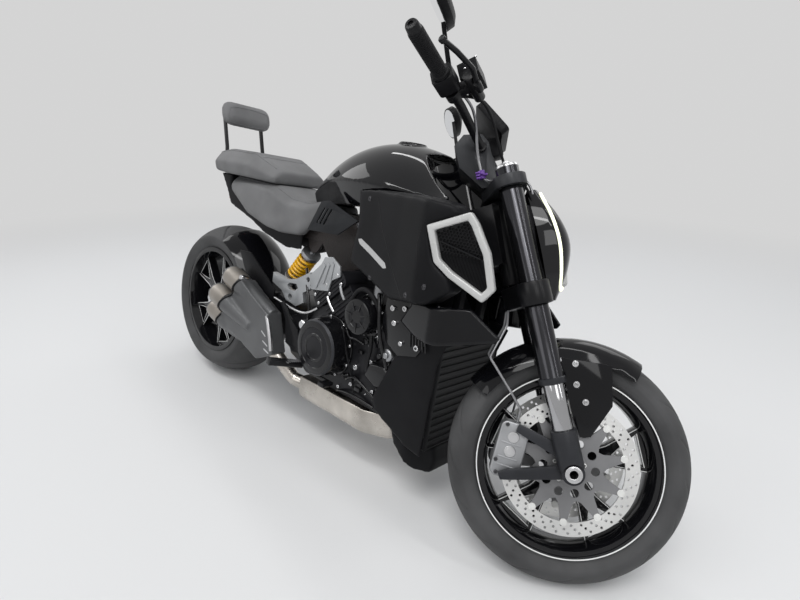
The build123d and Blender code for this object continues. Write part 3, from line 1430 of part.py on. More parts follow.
stand_top = Vector(*stand_pivot)
foot_point = on_floor(*stand_foot)
pad_top = foot_point + floor.z_dir * stand_pad_thick
leg_end = foot_point + floor.z_dir * (stand_pad_thick + 12)
open_way = (leg_end - stand_top).normalized()
hinge_way = open_way.cross(Vector(*stand_folded_way)).normalized()
leg_length = (leg_end - stand_top).length
leg_plane = Plane(origin=stand_top, x_dir=open_way, z_dir=hinge_way)
with BuildPart() as side_stand:
    with BuildSketch(leg_plane.offset(-leg_thick / 2)):
        Circle(eye_radius)
        Polygon((0, -eye_radius), (0, eye_radius), (leg_length, 9), (leg_length, -9), align=None)
    extrude(amount=leg_thick)
    with BuildSketch(Plane(origin=pad_top, x_dir=floor.x_dir, z_dir=floor.z_dir)):
        Circle(15)
    extrude(amount=16)
    with BuildSketch(Plane(origin=foot_point, x_dir=floor.x_dir, z_dir=floor.z_dir)):
        Circle(stand_foot_half)
    extrude(amount=stand_pad_thick)
    with BuildSketch(leg_plane.offset(-leg_thick / 2)):
        Circle(hinge_radius + bolt_gap)
    extrude(amount=leg_thick, mode=Mode.SUBTRACT)
keep(side_stand, "side_stand", chassis)

bracket_way = along(stand_bracket_angle, 1)
with BuildPart() as stand_bracket:
    for start in (-leg_thick / 2 - running_gap - cheek_thick, leg_thick / 2 + running_gap):
        with BuildSketch(leg_plane.offset(start)):
            Circle(eye_radius)
            with Locations(Location((0, 0, 0), (0, 0, stand_bracket_angle))):
                with Locations((bracket_reach / 2, 0)):
                    Rectangle(bracket_reach, 2 * eye_radius)
        extrude(amount=cheek_thick)
    with BuildSketch(leg_plane.offset(-leg_thick / 2 - running_gap)):
        with Locations(Location((0, 0, 0), (0, 0, stand_bracket_angle))):
            with Locations(((bracket_reach + eye_radius + 6) / 2, 0)):
                Rectangle(bracket_reach - eye_radius - 6, 2 * eye_radius)
    extrude(amount=leg_thick + 2 * running_gap)
    with BuildSketch(leg_plane.offset(-leg_thick / 2 - running_gap - cheek_thick - 3)):
        Circle(hinge_radius)
    extrude(amount=leg_thick + 2 * (running_gap + cheek_thick + 3))
    add(engine_form(seat_gap), mode=Mode.SUBTRACT)
    add(exhaust_collector.part, mode=Mode.SUBTRACT)
keep(stand_bracket, "stand_bracket", chassis)

# Joint places and axes, for the record
front_spin, rear_spin = Plane(steering), Plane(rear_wheel_place)
stand_world = Plane(chassis * leg_plane.location)
steer_world = Plane(steering)
hub_world = steering * Location((-fork_offset, 0, 0))

whole = Compound(children=[place * shape for shape, place in pieces.values()])
box = whole.bounding_box()
centre = Location((-(box.min.X + box.max.X) / 2, -(box.min.Y + box.max.Y) / 2, -box.min.Z))


def report(name, plane):
    moved = Plane(centre * plane.location)
    print(name, [round(v / 1000, 6) for v in tuple(moved.origin)], [round(v, 6) for v in tuple(moved.y_dir)],
          [round(v, 6) for v in tuple(moved.z_dir)])


report("front wheel", front_spin)
report("rear wheel", rear_spin)
report("stand", stand_world)
report("steering", Plane(hub_world))
print("size", box.size)

os.makedirs("parts", exist_ok=True)
for label, (shape, place) in pieces.items():
    stood = centre * place * shape
    stood.label = label
    export_step(stood, f"parts/{label}.step")
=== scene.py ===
import bpy
import bmesh
import json
import math
import random
from math import cos, hypot, pi, radians, sin
from mathutils import Matrix, Vector
from mathutils.bvhtree import BVHTree

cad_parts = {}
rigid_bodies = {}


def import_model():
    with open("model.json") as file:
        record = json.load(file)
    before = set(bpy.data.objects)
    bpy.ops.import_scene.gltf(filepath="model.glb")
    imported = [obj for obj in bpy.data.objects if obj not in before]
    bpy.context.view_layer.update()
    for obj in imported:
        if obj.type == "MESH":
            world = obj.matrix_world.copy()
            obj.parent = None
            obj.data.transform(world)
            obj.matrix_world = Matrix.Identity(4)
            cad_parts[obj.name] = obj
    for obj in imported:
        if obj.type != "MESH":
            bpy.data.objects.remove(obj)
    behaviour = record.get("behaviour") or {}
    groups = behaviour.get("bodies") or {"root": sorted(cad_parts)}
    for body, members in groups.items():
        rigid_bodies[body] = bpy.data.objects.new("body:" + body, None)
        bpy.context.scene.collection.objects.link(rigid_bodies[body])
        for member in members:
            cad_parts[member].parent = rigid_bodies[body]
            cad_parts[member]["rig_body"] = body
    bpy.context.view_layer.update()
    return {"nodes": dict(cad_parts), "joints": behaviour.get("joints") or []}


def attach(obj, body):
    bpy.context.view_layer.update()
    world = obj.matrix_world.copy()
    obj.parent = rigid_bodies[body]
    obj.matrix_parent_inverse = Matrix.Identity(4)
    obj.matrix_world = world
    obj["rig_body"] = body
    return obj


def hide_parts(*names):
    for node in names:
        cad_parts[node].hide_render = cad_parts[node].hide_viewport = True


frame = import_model()
print("frame loaded")

# The motorcycle's own axes, taken from its joints
mm = 0.001
rake = radians(26)
rearRadius = 324
joints = {j["name"]: j for j in frame["joints"]}
rearHub, frontHub = (Vector(joints[name]["pos_m"]) for name in ("rear_wheel_spin", "front_wheel_spin"))
rearAxis, frontAxis, steerAxis = (Vector(joints[name]["axis"]).normalized()
                                  for name in ("rear_wheel_spin", "front_wheel_spin", "steering"))
acrossSteer = rearAxis.cross(steerAxis).normalized()
bikeForward = cos(rake) * acrossSteer - sin(rake) * steerAxis
bikeUp = sin(rake) * acrossSteer + cos(rake) * steerAxis


def frameOf(origin, forward, left, up):
    rotation = Matrix((forward, left, up)).transposed().to_4x4()
    return Matrix.Translation(origin) @ rotation


bikeFrame = frameOf(rearHub - rearRadius * mm * bikeUp, bikeForward, rearAxis, bikeUp)
forkFrame = frameOf(frontHub, frontAxis.cross(steerAxis), frontAxis, steerAxis)
bike, fork = (bikeFrame, "chassis"), (forkFrame, "steering_head")
rearFrame = frameOf(rearHub, bikeForward, rearAxis, bikeUp)
front, rear = (forkFrame, "front_wheel_set"), (rearFrame, "rear_wheel_set")
sides = ((-1, "Right"), (1, "Left"))

# Camera, fitted to the photograph
cameraSet = {"place": (1995.8, -1070.0, 793.0), "turn": 132.52, "dip": -20.37, "roll": 0.84, "lens": 22.608}


def makeCamera(s):
    turn, dip, roll = (radians(s[k]) for k in ("turn", "dip", "roll"))
    ahead = Vector((cos(dip) * cos(turn), cos(dip) * sin(turn), sin(dip)))
    right = Vector((sin(turn), -cos(turn), 0))
    above = right.cross(ahead)
    data = bpy.data.cameras.new("camera")
    data.sensor_width = 36
    data.lens = s["lens"]
    data.clip_start = 0.02
    camera = addObject("camera", data)
    camera.matrix_world = frameOf(rearHub + Vector(s["place"]) * mm, right * cos(roll) + above * sin(roll),
                                  above * cos(roll) - right * sin(roll), -ahead)
    bpy.context.scene.camera = camera


def addObject(name, data):
    piece = bpy.data.objects.new(name, data)
    bpy.context.scene.collection.objects.link(piece)
    return piece


makeCamera(cameraSet)

# Floor, backdrop light and lamps
stageSet = {"floorTone": 0.72, "worldTone": 0.42, "seenTone": 0.66, "floorSize": 60, "sunStrength": 0.95,
            "sunAngle": 30, "sunTurn": 20, "sunTilt": 28, "fadeFrom": 2.6, "fadeTo": 5.5}
lampTable = [  # name, place, aim, length, width, watts
    ("lampFront", (3.6, -2.4, 3.2), (0.2, 0, 0.4), 1.6, 1.6, 22),
    ("lampRight", (-0.8, -4.2, 2.6), (-0.1, 0, 0.5), 2.4, 1.6, 22),
    ("lampLeft", (0.4, 4.2, 3.0), (0, 0, 0.5), 2.2, 1.6, 18),
    ("lampRear", (-3.8, -0.6, 2.8), (-0.2, 0, 0.5), 1.6, 1.6, 18),
    ("stripRight", (0.2, -1.3, 3.1), (0.1, -0.2, 0.5), 4.2, 0.16, 22),
    ("stripLeft", (0.2, 0.9, 3.1), (0.1, 0.1, 0.5), 4.2, 0.16, 16),
    ("stripFront", (2.6, 0.2, 2.9), (0.3, 0, 0.6), 0.16, 3.2, 14),
]


class Graph:  # a node tree to which nodes are added with their values or links
    def __init__(self, tree):
        self.nodes, self.links = tree.nodes, tree.links

    def fill(self, node, values):
        for socket, value in values.items():
            if isinstance(value, bpy.types.NodeSocket):
                self.links.new(value, node.inputs[socket])
            else:
                node.inputs[socket].default_value = value
        return node

    def add(self, kind, values, **settings):
        node = self.nodes.new("ShaderNode" + kind)
        for key, value in settings.items():
            setattr(node, key, value)
        return self.fill(node, values)

    def math(self, operation, a, b):
        return self.add("Math", {0: a, 1: b}, operation=operation).outputs[0]

    def seenRays(self):  # rays that show the background itself
        path = self.add("LightPath", {}).outputs
        return self.math("MAXIMUM", path["Is Camera Ray"],
                         self.math("MAXIMUM", path["Is Glossy Ray"], path["Is Transmission Ray"]))


def newMaterial(name):
    material = bpy.data.materials.new(name)
    material.use_nodes = True
    graph = Graph(material.node_tree)
    return material, graph, graph.nodes["Principled BSDF"]


def makeStage(s):
    world = bpy.data.worlds.new("studio")
    bpy.context.scene.world = world
    world.use_nodes = True
    graph = Graph(world.node_tree)
    shown = graph.fill(graph.nodes["Background"], {"Color": (1, 1, 1, 1), "Strength": s["seenTone"]})
    lit = graph.add("Background", {"Color": (0.93, 0.96, 1.0, 1), "Strength": s["worldTone"]})
    mix = graph.add("MixShader", {0: graph.seenRays(), 1: lit.outputs[0], 2: shown.outputs[0]})
    graph.fill(graph.nodes["World Output"], {"Surface": mix.outputs[0]})

    size = s["floorSize"]
    mesh = bpy.data.meshes.new("floor")
    corners = [(-size, -size, 0), (size, -size, 0), (size, size, 0), (-size, size, 0)]
    mesh.from_pydata(corners, [], [(0, 1, 2, 3)])
    floor = addObject("floor", mesh)
    material, graph, surface = newMaterial("paleFloor")
    grain = graph.add("TexNoise", {"Scale": 3}).outputs["Fac"]
    tone = graph.add("MapRange",
                     {"Value": grain, "To Min": s["floorTone"] - 0.01, "To Max": s["floorTone"] + 0.01})
    graph.fill(surface, {"Base Color": tone.outputs["Result"], "Roughness": 0.6, "Specular IOR Level": 0.3})
    place = graph.add("TexCoord", {}).outputs["Object"]
    reach = graph.add("VectorMath", {0: place}, operation="LENGTH").outputs["Value"]
    fade = graph.add("MapRange", {"Value": reach, "From Min": s["fadeFrom"], "From Max": s["fadeTo"]},
                     interpolation_type="SMOOTHSTEP").outputs["Result"]
    far = graph.add("Emission", {"Strength": s["seenTone"]})
    share = graph.math("MULTIPLY", fade, graph.seenRays())
    mix = graph.add("MixShader", {0: share, 1: surface.outputs[0], 2: far.outputs[0]})
    graph.fill(graph.nodes["Material Output"], {"Surface": mix.outputs[0]})
    mesh.materials.append(material)

    for name, place, aim, length, width, watts in lampTable:
        data = bpy.data.lights.new(name, "AREA")
        data.shape = "RECTANGLE"
        data.size, data.size_y = length, width
        data.energy = watts
        way = (Vector(aim) - Vector(place)).to_track_quat("-Z", "Y").to_matrix().to_4x4()
        addObject(name, data).matrix_world = Matrix.Translation(place) @ way
    data = bpy.data.lights.new("sun", "SUN")
    data.energy = s["sunStrength"]
    data.angle = radians(s["sunAngle"])
    turned = Matrix.Rotation(radians(s["sunTurn"]), 4, "Z")
    addObject("sun", data).matrix_world = turned @ Matrix.Rotation(radians(s["sunTilt"]), 4, "X")


makeStage(stageSet)
bpy.context.scene.view_settings.view_transform = "Standard"
print("stage ready")

# Finishes: slot, colour, spread, roughness from and to, grain scale, bump height, and what differs
black, alloy, panel = "black_alloy", "bare_alloy", "panel_black"
finishTable = {
    "glossBlack": ("gloss_black", (0.004, 0.004, 0.005), 0.15, (0.05, 0.09), 40, 0.01, {"shine": 0.26}),
    "deepGloss": ("paint_black", (0.003, 0.003, 0.004), 0.1, (0.03, 0.06), 20, 0, {"shine": 0.34}),
    "mattePlastic": (panel, (0.008, 0.008, 0.009), 0.2, (0.36, 0.46), 900, 0.1, {"shine": 0.1}),
    "charcoalPlastic": (panel, (0.02, 0.021, 0.023), 0.2, (0.45, 0.6), 700, 0.15, {"shine": 0.12}),
    "satinBlack": (black, (0.007, 0.007, 0.008), 0.2, (0.24, 0.36), 500, 0.05, {"shine": 0.22}),
    "engineBlack": ("engine_black", (0.012, 0.012, 0.014), 0.35, (0.26, 0.42), 420, 0.25,
                    {"metal": 0.2, "shine": 0.25}),
    "castAlloy": ("cast_alloy", (0.32, 0.325, 0.335), 0.25, (0.35, 0.55), 520, 0.25, {"metal": 0.9}),
    "bareAlloy": (alloy, (0.6, 0.6, 0.61), 0.15, (0.2, 0.35), 160, 0.04, {"metal": 1}),
    "palePlate": ("ring_silver", (0.36, 0.37, 0.38), 0.12, (0.3, 0.42), 300, 0.08, {"metal": 0.4}),
    "ringSilver": ("ring_silver", (0.5, 0.5, 0.49), 0.05, (0.24, 0.32), 300, 0.03,
                   {"metal": 0.1, "coat": 0.3}),
    "boltSteel": (alloy, (0.55, 0.55, 0.56), 0.2, (0.2, 0.35), 300, 0.05, {"metal": 1}),
    "darkBolt": (black, (0.08, 0.08, 0.085), 0.2, (0.25, 0.4), 300, 0.05, {"metal": 0.9}),
    "forkBlack": ("fork_black", (0.04, 0.04, 0.044), 0.1, (0.12, 0.18), 60, 0.01, {"metal": 0.85}),
    "darkChrome": ("dark_chrome", (0.42, 0.42, 0.43), 0.1, (0.08, 0.14), 60, 0, {"metal": 1}),
    "anthracite": (black, (0.03, 0.031, 0.035), 0.2, (0.36, 0.46), 500, 0.12, {"metal": 0.3, "shine": 0.25}),
    "discSteel": ("disc_steel", (0.74, 0.74, 0.73), 0.1, (0.24, 0.38), 220, 0.05, {"metal": 0.9}),
    "chainSteel": ("chain_steel", (0.3, 0.29, 0.27), 0.35, (0.25, 0.45), 260, 0.1, {"metal": 1}),
    "exhaustSteel": ("exhaust_steel", (0.5, 0.47, 0.43), 0.3, (0.18, 0.36), 30, 0.03, {"metal": 1}),
    "seatCover": ("seat_cover", (0.15, 0.15, 0.152), 0.15, (0.55, 0.68), 520, 0.4,
                  {"cells": True, "shine": 0.2}),
    "gripRubber": ("grip_rubber", (0.009, 0.009, 0.010), 0.25, (0.5, 0.65), 700, 0.2, {"shine": 0.15}),
    "tyreRubber": ("tyre_rubber", (0.06, 0.06, 0.061), 0.25, (0.5, 0.66), 500, 0.2, {"shine": 0.2}),
    "springYellow": ("spring_yellow", (0.75, 0.4, 0.004), 0.08, (0.2, 0.3), 60, 0.01, {"coat": 0.3}),
    "lensBlack": ("lamp_black", (0.004, 0.004, 0.005), 0.1, (0.03, 0.06), 20, 0, {"shine": 0.4}),
    "lampRed": ("lamp_red", (0.22, 0.005, 0.005), 0.1, (0.05, 0.1), 40, 0, {"coat": 1}),
    "cupPale": ("cup_amber", (0.7, 0.62, 0.5), 0.1, (0.2, 0.3), 80, 0.02, {}),
    "tiePurple": ("tie_purple", (0.13, 0.04, 0.3), 0.1, (0.35, 0.45), 200, 0.05, {}),
    "wheelBlack": ("wheel_black", (0.005, 0.005, 0.006), 0.1, (0.07, 0.12), 60, 0.01, {"shine": 0.4}),
    "engineGloss": ("engine_black", (0.006, 0.006, 0.007), 0.2, (0.12, 0.2), 300, 0.06, {"shine": 0.4}),
    "yokeGrey": (black, (0.03, 0.031, 0.034), 0.15, (0.35, 0.45), 500, 0.1, {"metal": 0.3, "shine": 0.3}),
    "stripeSilver": ("ring_silver", (0.5, 0.5, 0.5), 0.05, (0.25, 0.32), 300, 0.02, {"metal": 0.3}),
    "stitchGrey": ("seat_cover", (0.13, 0.13, 0.135), 0.15, (0.6, 0.75), 900, 0.3, {}),
    "exhaustGrey": ("exhaust_brown", (0.11, 0.112, 0.115), 0.15, (0.34, 0.46), 700, 0.1, {"metal": 0.5}),
    "exhaustBeige": ("exhaust_steel", (0.3, 0.275, 0.245), 0.15, (0.3, 0.42), 500, 0.08, {"metal": 0.7}),
    "boltBright": (alloy, (0.62, 0.62, 0.63), 0.15, (0.16, 0.28), 300, 0.04, {"metal": 1}),
    "machinedLine": (alloy, (0.8, 0.8, 0.79), 0.05, (0.25, 0.35), 400, 0.03, {"metal": 0.1}),
    "carrierGrey": (black, (0.2, 0.2, 0.205), 0.15, (0.35, 0.45), 500, 0.1, {"metal": 0.5}),
    "weaveBlack": (panel, (0.022, 0.018, 0.017), 0.3, (0.4, 0.6), 160, 1, {"cells": True, "shine": 0.3}),
    "bobbinPale": (alloy, (0.75, 0.75, 0.73), 0.08, (0.25, 0.35), 300, 0.04, {"metal": 0.4}),
    "hoseGrey": (alloy, (0.3, 0.3, 0.31), 0.2, (0.25, 0.4), 900, 0.3, {"metal": 0.8, "cells": True}),
    "mirrorGlass": ("mirror_glass", (0.85, 0.86, 0.88), 0.02, (0.02, 0.03), 10, 0, {"metal": 1}),
}
finishes = {}
finishSlots = {name: row[0] for name, row in finishTable.items()}


def makeFinish(name, colour, spread, rough, grainScale, height, other):
    material, graph, surface = newMaterial(name)
    place = graph.add("TexCoord", {}).outputs["Object"]
    grain = graph.add("TexNoise", {"Scale": grainScale, "Detail": 4, "Vector": place}).outputs["Fac"]
    cloud = graph.add("TexNoise", {"Scale": 9, "Detail": 3, "Vector": place}).outputs["Fac"]
    ramp = graph.add("ValToRGB", {"Fac": cloud})
    for stop, at, share in zip(ramp.color_ramp.elements, (0.3, 0.7), (1 - spread, 1 + spread)):
        stop.position = at
        stop.color = (*(min(1, c * share) for c in colour), 1)
    mixed = graph.add("MapRange", {"To Min": rough[0], "To Max": rough[1], "Value": cloud})
    graph.fill(surface, {
        "Base Color": ramp.outputs["Color"], "Roughness": mixed.outputs["Result"],
        "Metallic": other.get("metal", 0), "Specular IOR Level": other.get("shine", 0.5),
        "Coat Weight": other.get("coat", 0), "Coat Roughness": 0.04})
    if height > 0:
        source = grain
        if other.get("cells"):
            source = graph.add("TexVoronoi", {"Scale": grainScale, "Vector": place}).outputs["Distance"]
        bump = graph.add("Bump", {"Strength": height, "Distance": 0.0006, "Height": source})
        graph.fill(surface, {"Normal": bump.outputs["Normal"]})
    return material


def makeGlow(name, slot, colour, strength):
    material, graph, surface = newMaterial(name)
    grain = graph.add("TexNoise", {"Scale": 200}).outputs["Fac"]
    tone = graph.add("MapRange", {"To Min": strength * 0.9, "To Max": strength * 1.1, "Value": grain})
    graph.fill(surface, {"Base Color": (*colour, 1), "Emission Color": (*colour, 1),
                         "Emission Strength": tone.outputs["Result"], "Roughness": 0.2})
    finishes[name], finishSlots[name] = material, slot


for finishName, (slot, *values) in finishTable.items():
    finishes[finishName] = makeFinish(finishName, *values)
makeGlow("lampGlow", "lamp_glow", (0.93, 0.96, 0.7), 0.95)
print("finishes ready", len(finishes))


# Piece makers
def finishPiece(piece, finish, body, replaced=(), smoothAngle=35):
    piece.data.materials.clear()
    piece.data.materials.append(finishes[finish])
    if smoothAngle:
        piece.data.shade_smooth()
        piece.data.set_sharp_from_angle(angle=radians(smoothAngle))
    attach(piece, body)
    if replaced:
        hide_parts(*replaced)
    return piece


def bakedMesh(piece):  # the mesh that an object's curve or modifiers make
    bpy.context.view_layer.update()
    return bpy.data.meshes.new_from_object(piece.evaluated_get(bpy.context.evaluated_depsgraph_get()))


def applyModifiers(piece):
    made = bakedMesh(piece)
    piece.modifiers.clear()
    piece.data = made


def bevelEdges(piece, width, segments=2):
    bevel = piece.modifiers.new("edges", "BEVEL")
    bevel.width = width * mm
    bevel.segments = segments
    bevel.limit_method = "ANGLE"
    bevel.angle_limit = radians(30)
    applyModifiers(piece)


def cleaned(mesh, weld, angle):  # close points welded, and flat faces joined
    work = bmesh.new()
    work.from_mesh(mesh)
    bmesh.ops.remove_doubles(work, verts=work.verts, dist=weld)
    if angle:
        bmesh.ops.dissolve_limit(work, angle_limit=radians(angle), verts=work.verts, edges=work.edges)
    return work


def softenNode(node, finish, width=1.2, segments=2):  # a CAD node's shape again, with its edges rounded
    work = cleaned(frame["nodes"][node].data, 0.00002, 2.5)
    mesh = bpy.data.meshes.new(node + ".shown")
    work.to_mesh(mesh)
    work.free()
    piece = addObject(node + ".shown", mesh)
    bevelEdges(piece, width, segments)
    return finishPiece(piece, finish, frame["nodes"][node]["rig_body"], (node,))


def mouldNode(node, finish, voxel, passes, keepShare=1, shrink=0):
    # a CAD node's shape again, with its edges rounded as moulding or padding rounds them
    piece = addObject(node + ".shown", frame["nodes"][node].data.copy())
    welder = piece.modifiers.new("voxels", "REMESH")
    welder.mode = "VOXEL"
    welder.voxel_size = voxel * mm
    smoother = piece.modifiers.new("smooth", "SMOOTH")
    smoother.factor = 0.5
    smoother.iterations = passes
    if keepShare < 1:
        piece.modifiers.new("thin", "DECIMATE").ratio = keepShare
    applyModifiers(piece)
    if shrink:
        normals = [vertex.normal.copy() for vertex in piece.data.vertices]
        for vertex, normal in zip(piece.data.vertices, normals):
            vertex.co -= normal * shrink * mm
    return finishPiece(piece, finish, frame["nodes"][node]["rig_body"], (node,), 60)


def joined(meshes):
    work = bmesh.new()
    for mesh in meshes:
        work.from_mesh(mesh)
    made = bpy.data.meshes.new("joined")
    work.to_mesh(made)
    work.free()
    return made


def meshPiece(name, meshes, place, finish, replaced=(), edge=0, segments=2, smoothAngle=35):
    mesh = joined(meshes) if isinstance(meshes, list) else meshes
    work = cleaned(mesh, 0.00001, 1.5 if edge else 0)
    bmesh.ops.recalc_face_normals(work, faces=work.faces)
    work.to_mesh(mesh)
    work.free()
    mesh.name = name
    mesh.transform(place[0])
    piece = addObject(name, mesh)
    if edge:
        bevelEdges(piece, edge, segments)
    return finishPiece(piece, finish, place[1], replaced, smoothAngle)


def newMesh(verts, faces):  # points in millimetres
    mesh = bpy.data.meshes.new("made")
    mesh.from_pydata([(x * mm, y * mm, z * mm) for x, y, z in verts], [], faces)
    return mesh


def moved(mesh, x=0, y=0, z=0):
    mesh.transform(Matrix.Translation((x * mm, y * mm, z * mm)))
    return mesh


def onSide(point, side):  # a point given for the left side
    return point[0], side * point[1], point[2]


def polar(points, turn):
    c, s = cos(turn), sin(turn)
    return [(a * c - b * s, a * s + b * c) for a, b in points]


def ringPoints(radius, count=64, centre=(0, 0), start=0.0):
    return [(centre[0] + radius * cos(start + 2 * pi * k / count),
             centre[1] + radius * sin(start + 2 * pi * k / count)) for k in range(count)]


def plateMesh(outlines, low, high):  # flat plates of x, z outlines; low and high are distances to the left
    curve = bpy.data.curves.new("outline", "CURVE")
    curve.dimensions = "2D"
    curve.fill_mode = "BOTH"
    curve.extrude = (high - low) / 2 * mm
    for points in outlines:
        spline = curve.splines.new("POLY")
        spline.points.add(len(points) - 1)
        for k, (a, b) in enumerate(points):
            spline.points[k].co = (a * mm, b * mm, 0, 1)
        spline.use_cyclic_u = True
    holder = addObject("outline", curve)
    mesh = bakedMesh(holder)
    bpy.data.objects.remove(holder)
    middle = (low + high) / 2 * mm
    mesh.transform(Matrix(((1, 0, 0, 0), (0, 0, -1, middle), (0, 1, 0, 0), (0, 0, 0, 1))))
    return mesh


def latheMesh(profile, steps=64, axis="y"):  # profile of (along, radius) points, turned about an axis
    verts, n = [], len(profile)
    for k in range(steps):
        c, s = cos(2 * pi * k / steps), sin(2 * pi * k / steps)
        for along, radius in profile:
            verts.append((radius * c, along, radius * s) if axis == "y" else (radius * c, radius * s, along))
    faces = []
    for k in range(steps):
        k2 = (k + 1) % steps
        faces += [(k * n + j, k * n + j + 1, k2 * n + j + 1, k2 * n + j) for j in range(n - 1)]
    return newMesh(verts, faces)


def discMesh(radius, low, high, count=32, centre=(0, 0), chamfer=0.0):  # a round boss across the side plane
    c = min(chamfer, radius * 0.4, abs(high - low) * 0.4)
    step = math.copysign(c, high - low)
    return moved(latheMesh([(low, 0.001), (low, radius - c), (low + step, radius), (high - step, radius),
                            (high, radius - c), (high, 0.001)], count), centre[0], 0, centre[1])


def boltMesh(centre, base, rise, radius=5.0):  # a socket-head bolt standing off a side face
    top, inward = base + rise, -math.copysign(1, rise)
    floor = top + inward * radius * 0.6
    return moved(latheMesh([(base, 0.001), (base, radius), (top + inward * 0.8, radius), (top, radius - 0.8),
                            (top, radius * 0.55), (floor, radius * 0.5), (floor, 0.001)], 14),
                 centre[0], 0, centre[1])


def screwMesh(top, radius, sink, rise):  # a small upright screw with a socket
    return latheMesh([(top - sink, radius), (top + rise, radius - 0.2), (top + rise, radius / 2),
                      (top + 0.2, radius / 2 - 0.1), (top + 0.2, 0.1)], 12, "z")


def tubePiece(name, points, radius, place, finish, replaced=(), around=6):
    curve = bpy.data.curves.new(name, "CURVE")
    curve.dimensions = "3D"
    curve.bevel_depth = radius * mm
    curve.bevel_resolution = around
    curve.use_fill_caps = True
    curve.resolution_u = 10
    spline = curve.splines.new("NURBS")
    spline.points.add(len(points) - 1)
    for k, p in enumerate(points):
        spline.points[k].co = (*(place[0] @ (Vector(p) * mm)), 1)
    spline.order_u = 3
    spline.use_endpoint_u = True
    holder = addObject(name, curve)
    mesh = bakedMesh(holder)
    bpy.data.objects.remove(holder)
    return finishPiece(addObject(name, mesh), finish, place[1], replaced, 40)


def ringLoft(rings):  # capped rings of x, y, z points, all with the same number
    n, last = len(rings[0]), len(rings) - 1
    faces = [(r * n + k, r * n + (k + 1) % n, (r + 1) * n + (k + 1) % n, (r + 1) * n + k)
             for r in range(last) for k in range(n)]
    faces += [tuple(range(n - 1, -1, -1)), tuple(last * n + k for k in range(n))]
    return newMesh([p for ring in rings for p in ring], faces)


def slabMesh(outline, low, high):  # an x, z outline carried from one distance to another
    return ringLoft([[(x, y, z) for x, z in outline] for y in (low, high)])


def boxMesh(low, high):
    (x0, y0, z0), (x1, y1, z1) = low, high
    return ringLoft([[(x0, y0, z), (x1, y0, z), (x1, y1, z), (x0, y1, z)] for z in (z0, z1)])


def bothSides(meshes):  # the same pieces on the other side too
    others = []
    for mesh in meshes:
        other = mesh.copy()
        other.transform(Matrix.Diagonal((1, -1, 1, 1)))
        other.flip_normals()
        others.append(other)
    return meshes + others


def treeOf(datas, matrix):  # the surface of meshes in one of the frames, in millimetres
    back = Matrix.Scale(1000, 4) @ matrix.inverted()
    verts, faces = [], []
    for data in datas:
        faces += [tuple(v + len(verts) for v in p.vertices) for p in data.polygons]
        verts += [back @ v.co for v in data.vertices]
    return BVHTree.FromPolygons(verts, faces)


def nodesTree(matrix, *nodes):
    return treeOf([frame["nodes"][node].data for node in nodes], matrix)


def sideHit(tree, x, z, side, start=420, other=130):  # how far out a surface lies at a point of the side view
    hit = tree.ray_cast(Vector((x, side * start, z)), Vector((0, -side, 0)))[0]
    return hit.y if hit else side * other


def dropHit(tree, x, y, start):  # how high a surface lies under a point, if it does
    hit = tree.ray_cast(Vector((x, y, start)), Vector((0, 0, -1)))[0]
    return hit.z if hit else None


def laidStrip(tree, points, width, rise, side=-1, steps=14):
    # a flat strip laid on a side face, its ends rounded
    line = []
    for (x0, z0), (x1, z1) in zip(points, points[1:]):
        line += [(x0 + (x1 - x0) * k / steps, z0 + (z1 - z0) * k / steps) for k in range(steps)]
    line.append(points[-1])
    rings = []
    for k, (x, z) in enumerate(line):
        a, b = line[max(0, k - 1)], line[min(len(line) - 1, k + 1)]
        size = hypot(b[0] - a[0], b[1] - a[1]) or 1
        nx, nz = -(b[1] - a[1]) / size, (b[0] - a[0]) / size
        end = min(hypot(x - p[0], z - p[1]) for p in (points[0], points[-1]))
        half = width / 2 * math.sqrt(max(0.02, 1 - max(0, 1 - end / (width / 2)) ** 2))
        ring = []
        for across, lift in ((-half, -1), (-half, rise), (half, rise), (half, -1)):
            px, pz = x + nx * across, z + nz * across
            ring.append((px, sideHit(tree, px, pz, side, other=190) + side * lift, pz))
        rings.append(ring)
    return ringLoft(rings)


def seamLine(tree, points, steps=10):  # points pulled on to a surface, for piping and stitches
    line = [Vector(a).lerp(Vector(b), k / steps) for a, b in zip(points, points[1:]) for k in range(steps)]
    return [tuple(tree.find_nearest(p)[0]) for p in line + [Vector(points[-1])]]


def wayFrame(matrix, origin, way):  # a frame whose second axis points along a way
    along = Vector(way).normalized()
    side = Vector((0, 0, 1)).cross(along).normalized() if abs(along.z) < 0.95 else Vector((1, 0, 0))
    return matrix @ frameOf(Vector(origin) * mm, side, along, side.cross(along).normalized())


# Tyres: a turned body whose tread is cut by sweeping grooves
frontTyreSet = {"radius": 300, "half": 60, "shoulder": 262, "rimHalf": 49, "around": 760, "rows": 46,
                "grooves": 17, "grooveWidth": 4.6, "depth": 3.2, "reach": (9, 57), "sweep": 0.30,
                "stagger": 0.5, "direction": 1}
rearTyreSet = {"radius": rearRadius, "half": 120, "shoulder": 272, "rimHalf": 107, "around": 720, "rows": 56,
               "grooves": 13, "grooveWidth": 6.0, "depth": 3.6, "reach": (16, 112), "sweep": 0.34,
               "stagger": 0.5, "direction": -1}
tyreSet = {"beadInside": 216.5, "beadOutside": 226.3, "seatIn": 5.3, "wallSteps": 10, "ribSteps": (2, 8),
           "ribRise": 0.7, "bend": 1.4, "ends": 9, "edge": 1.1}


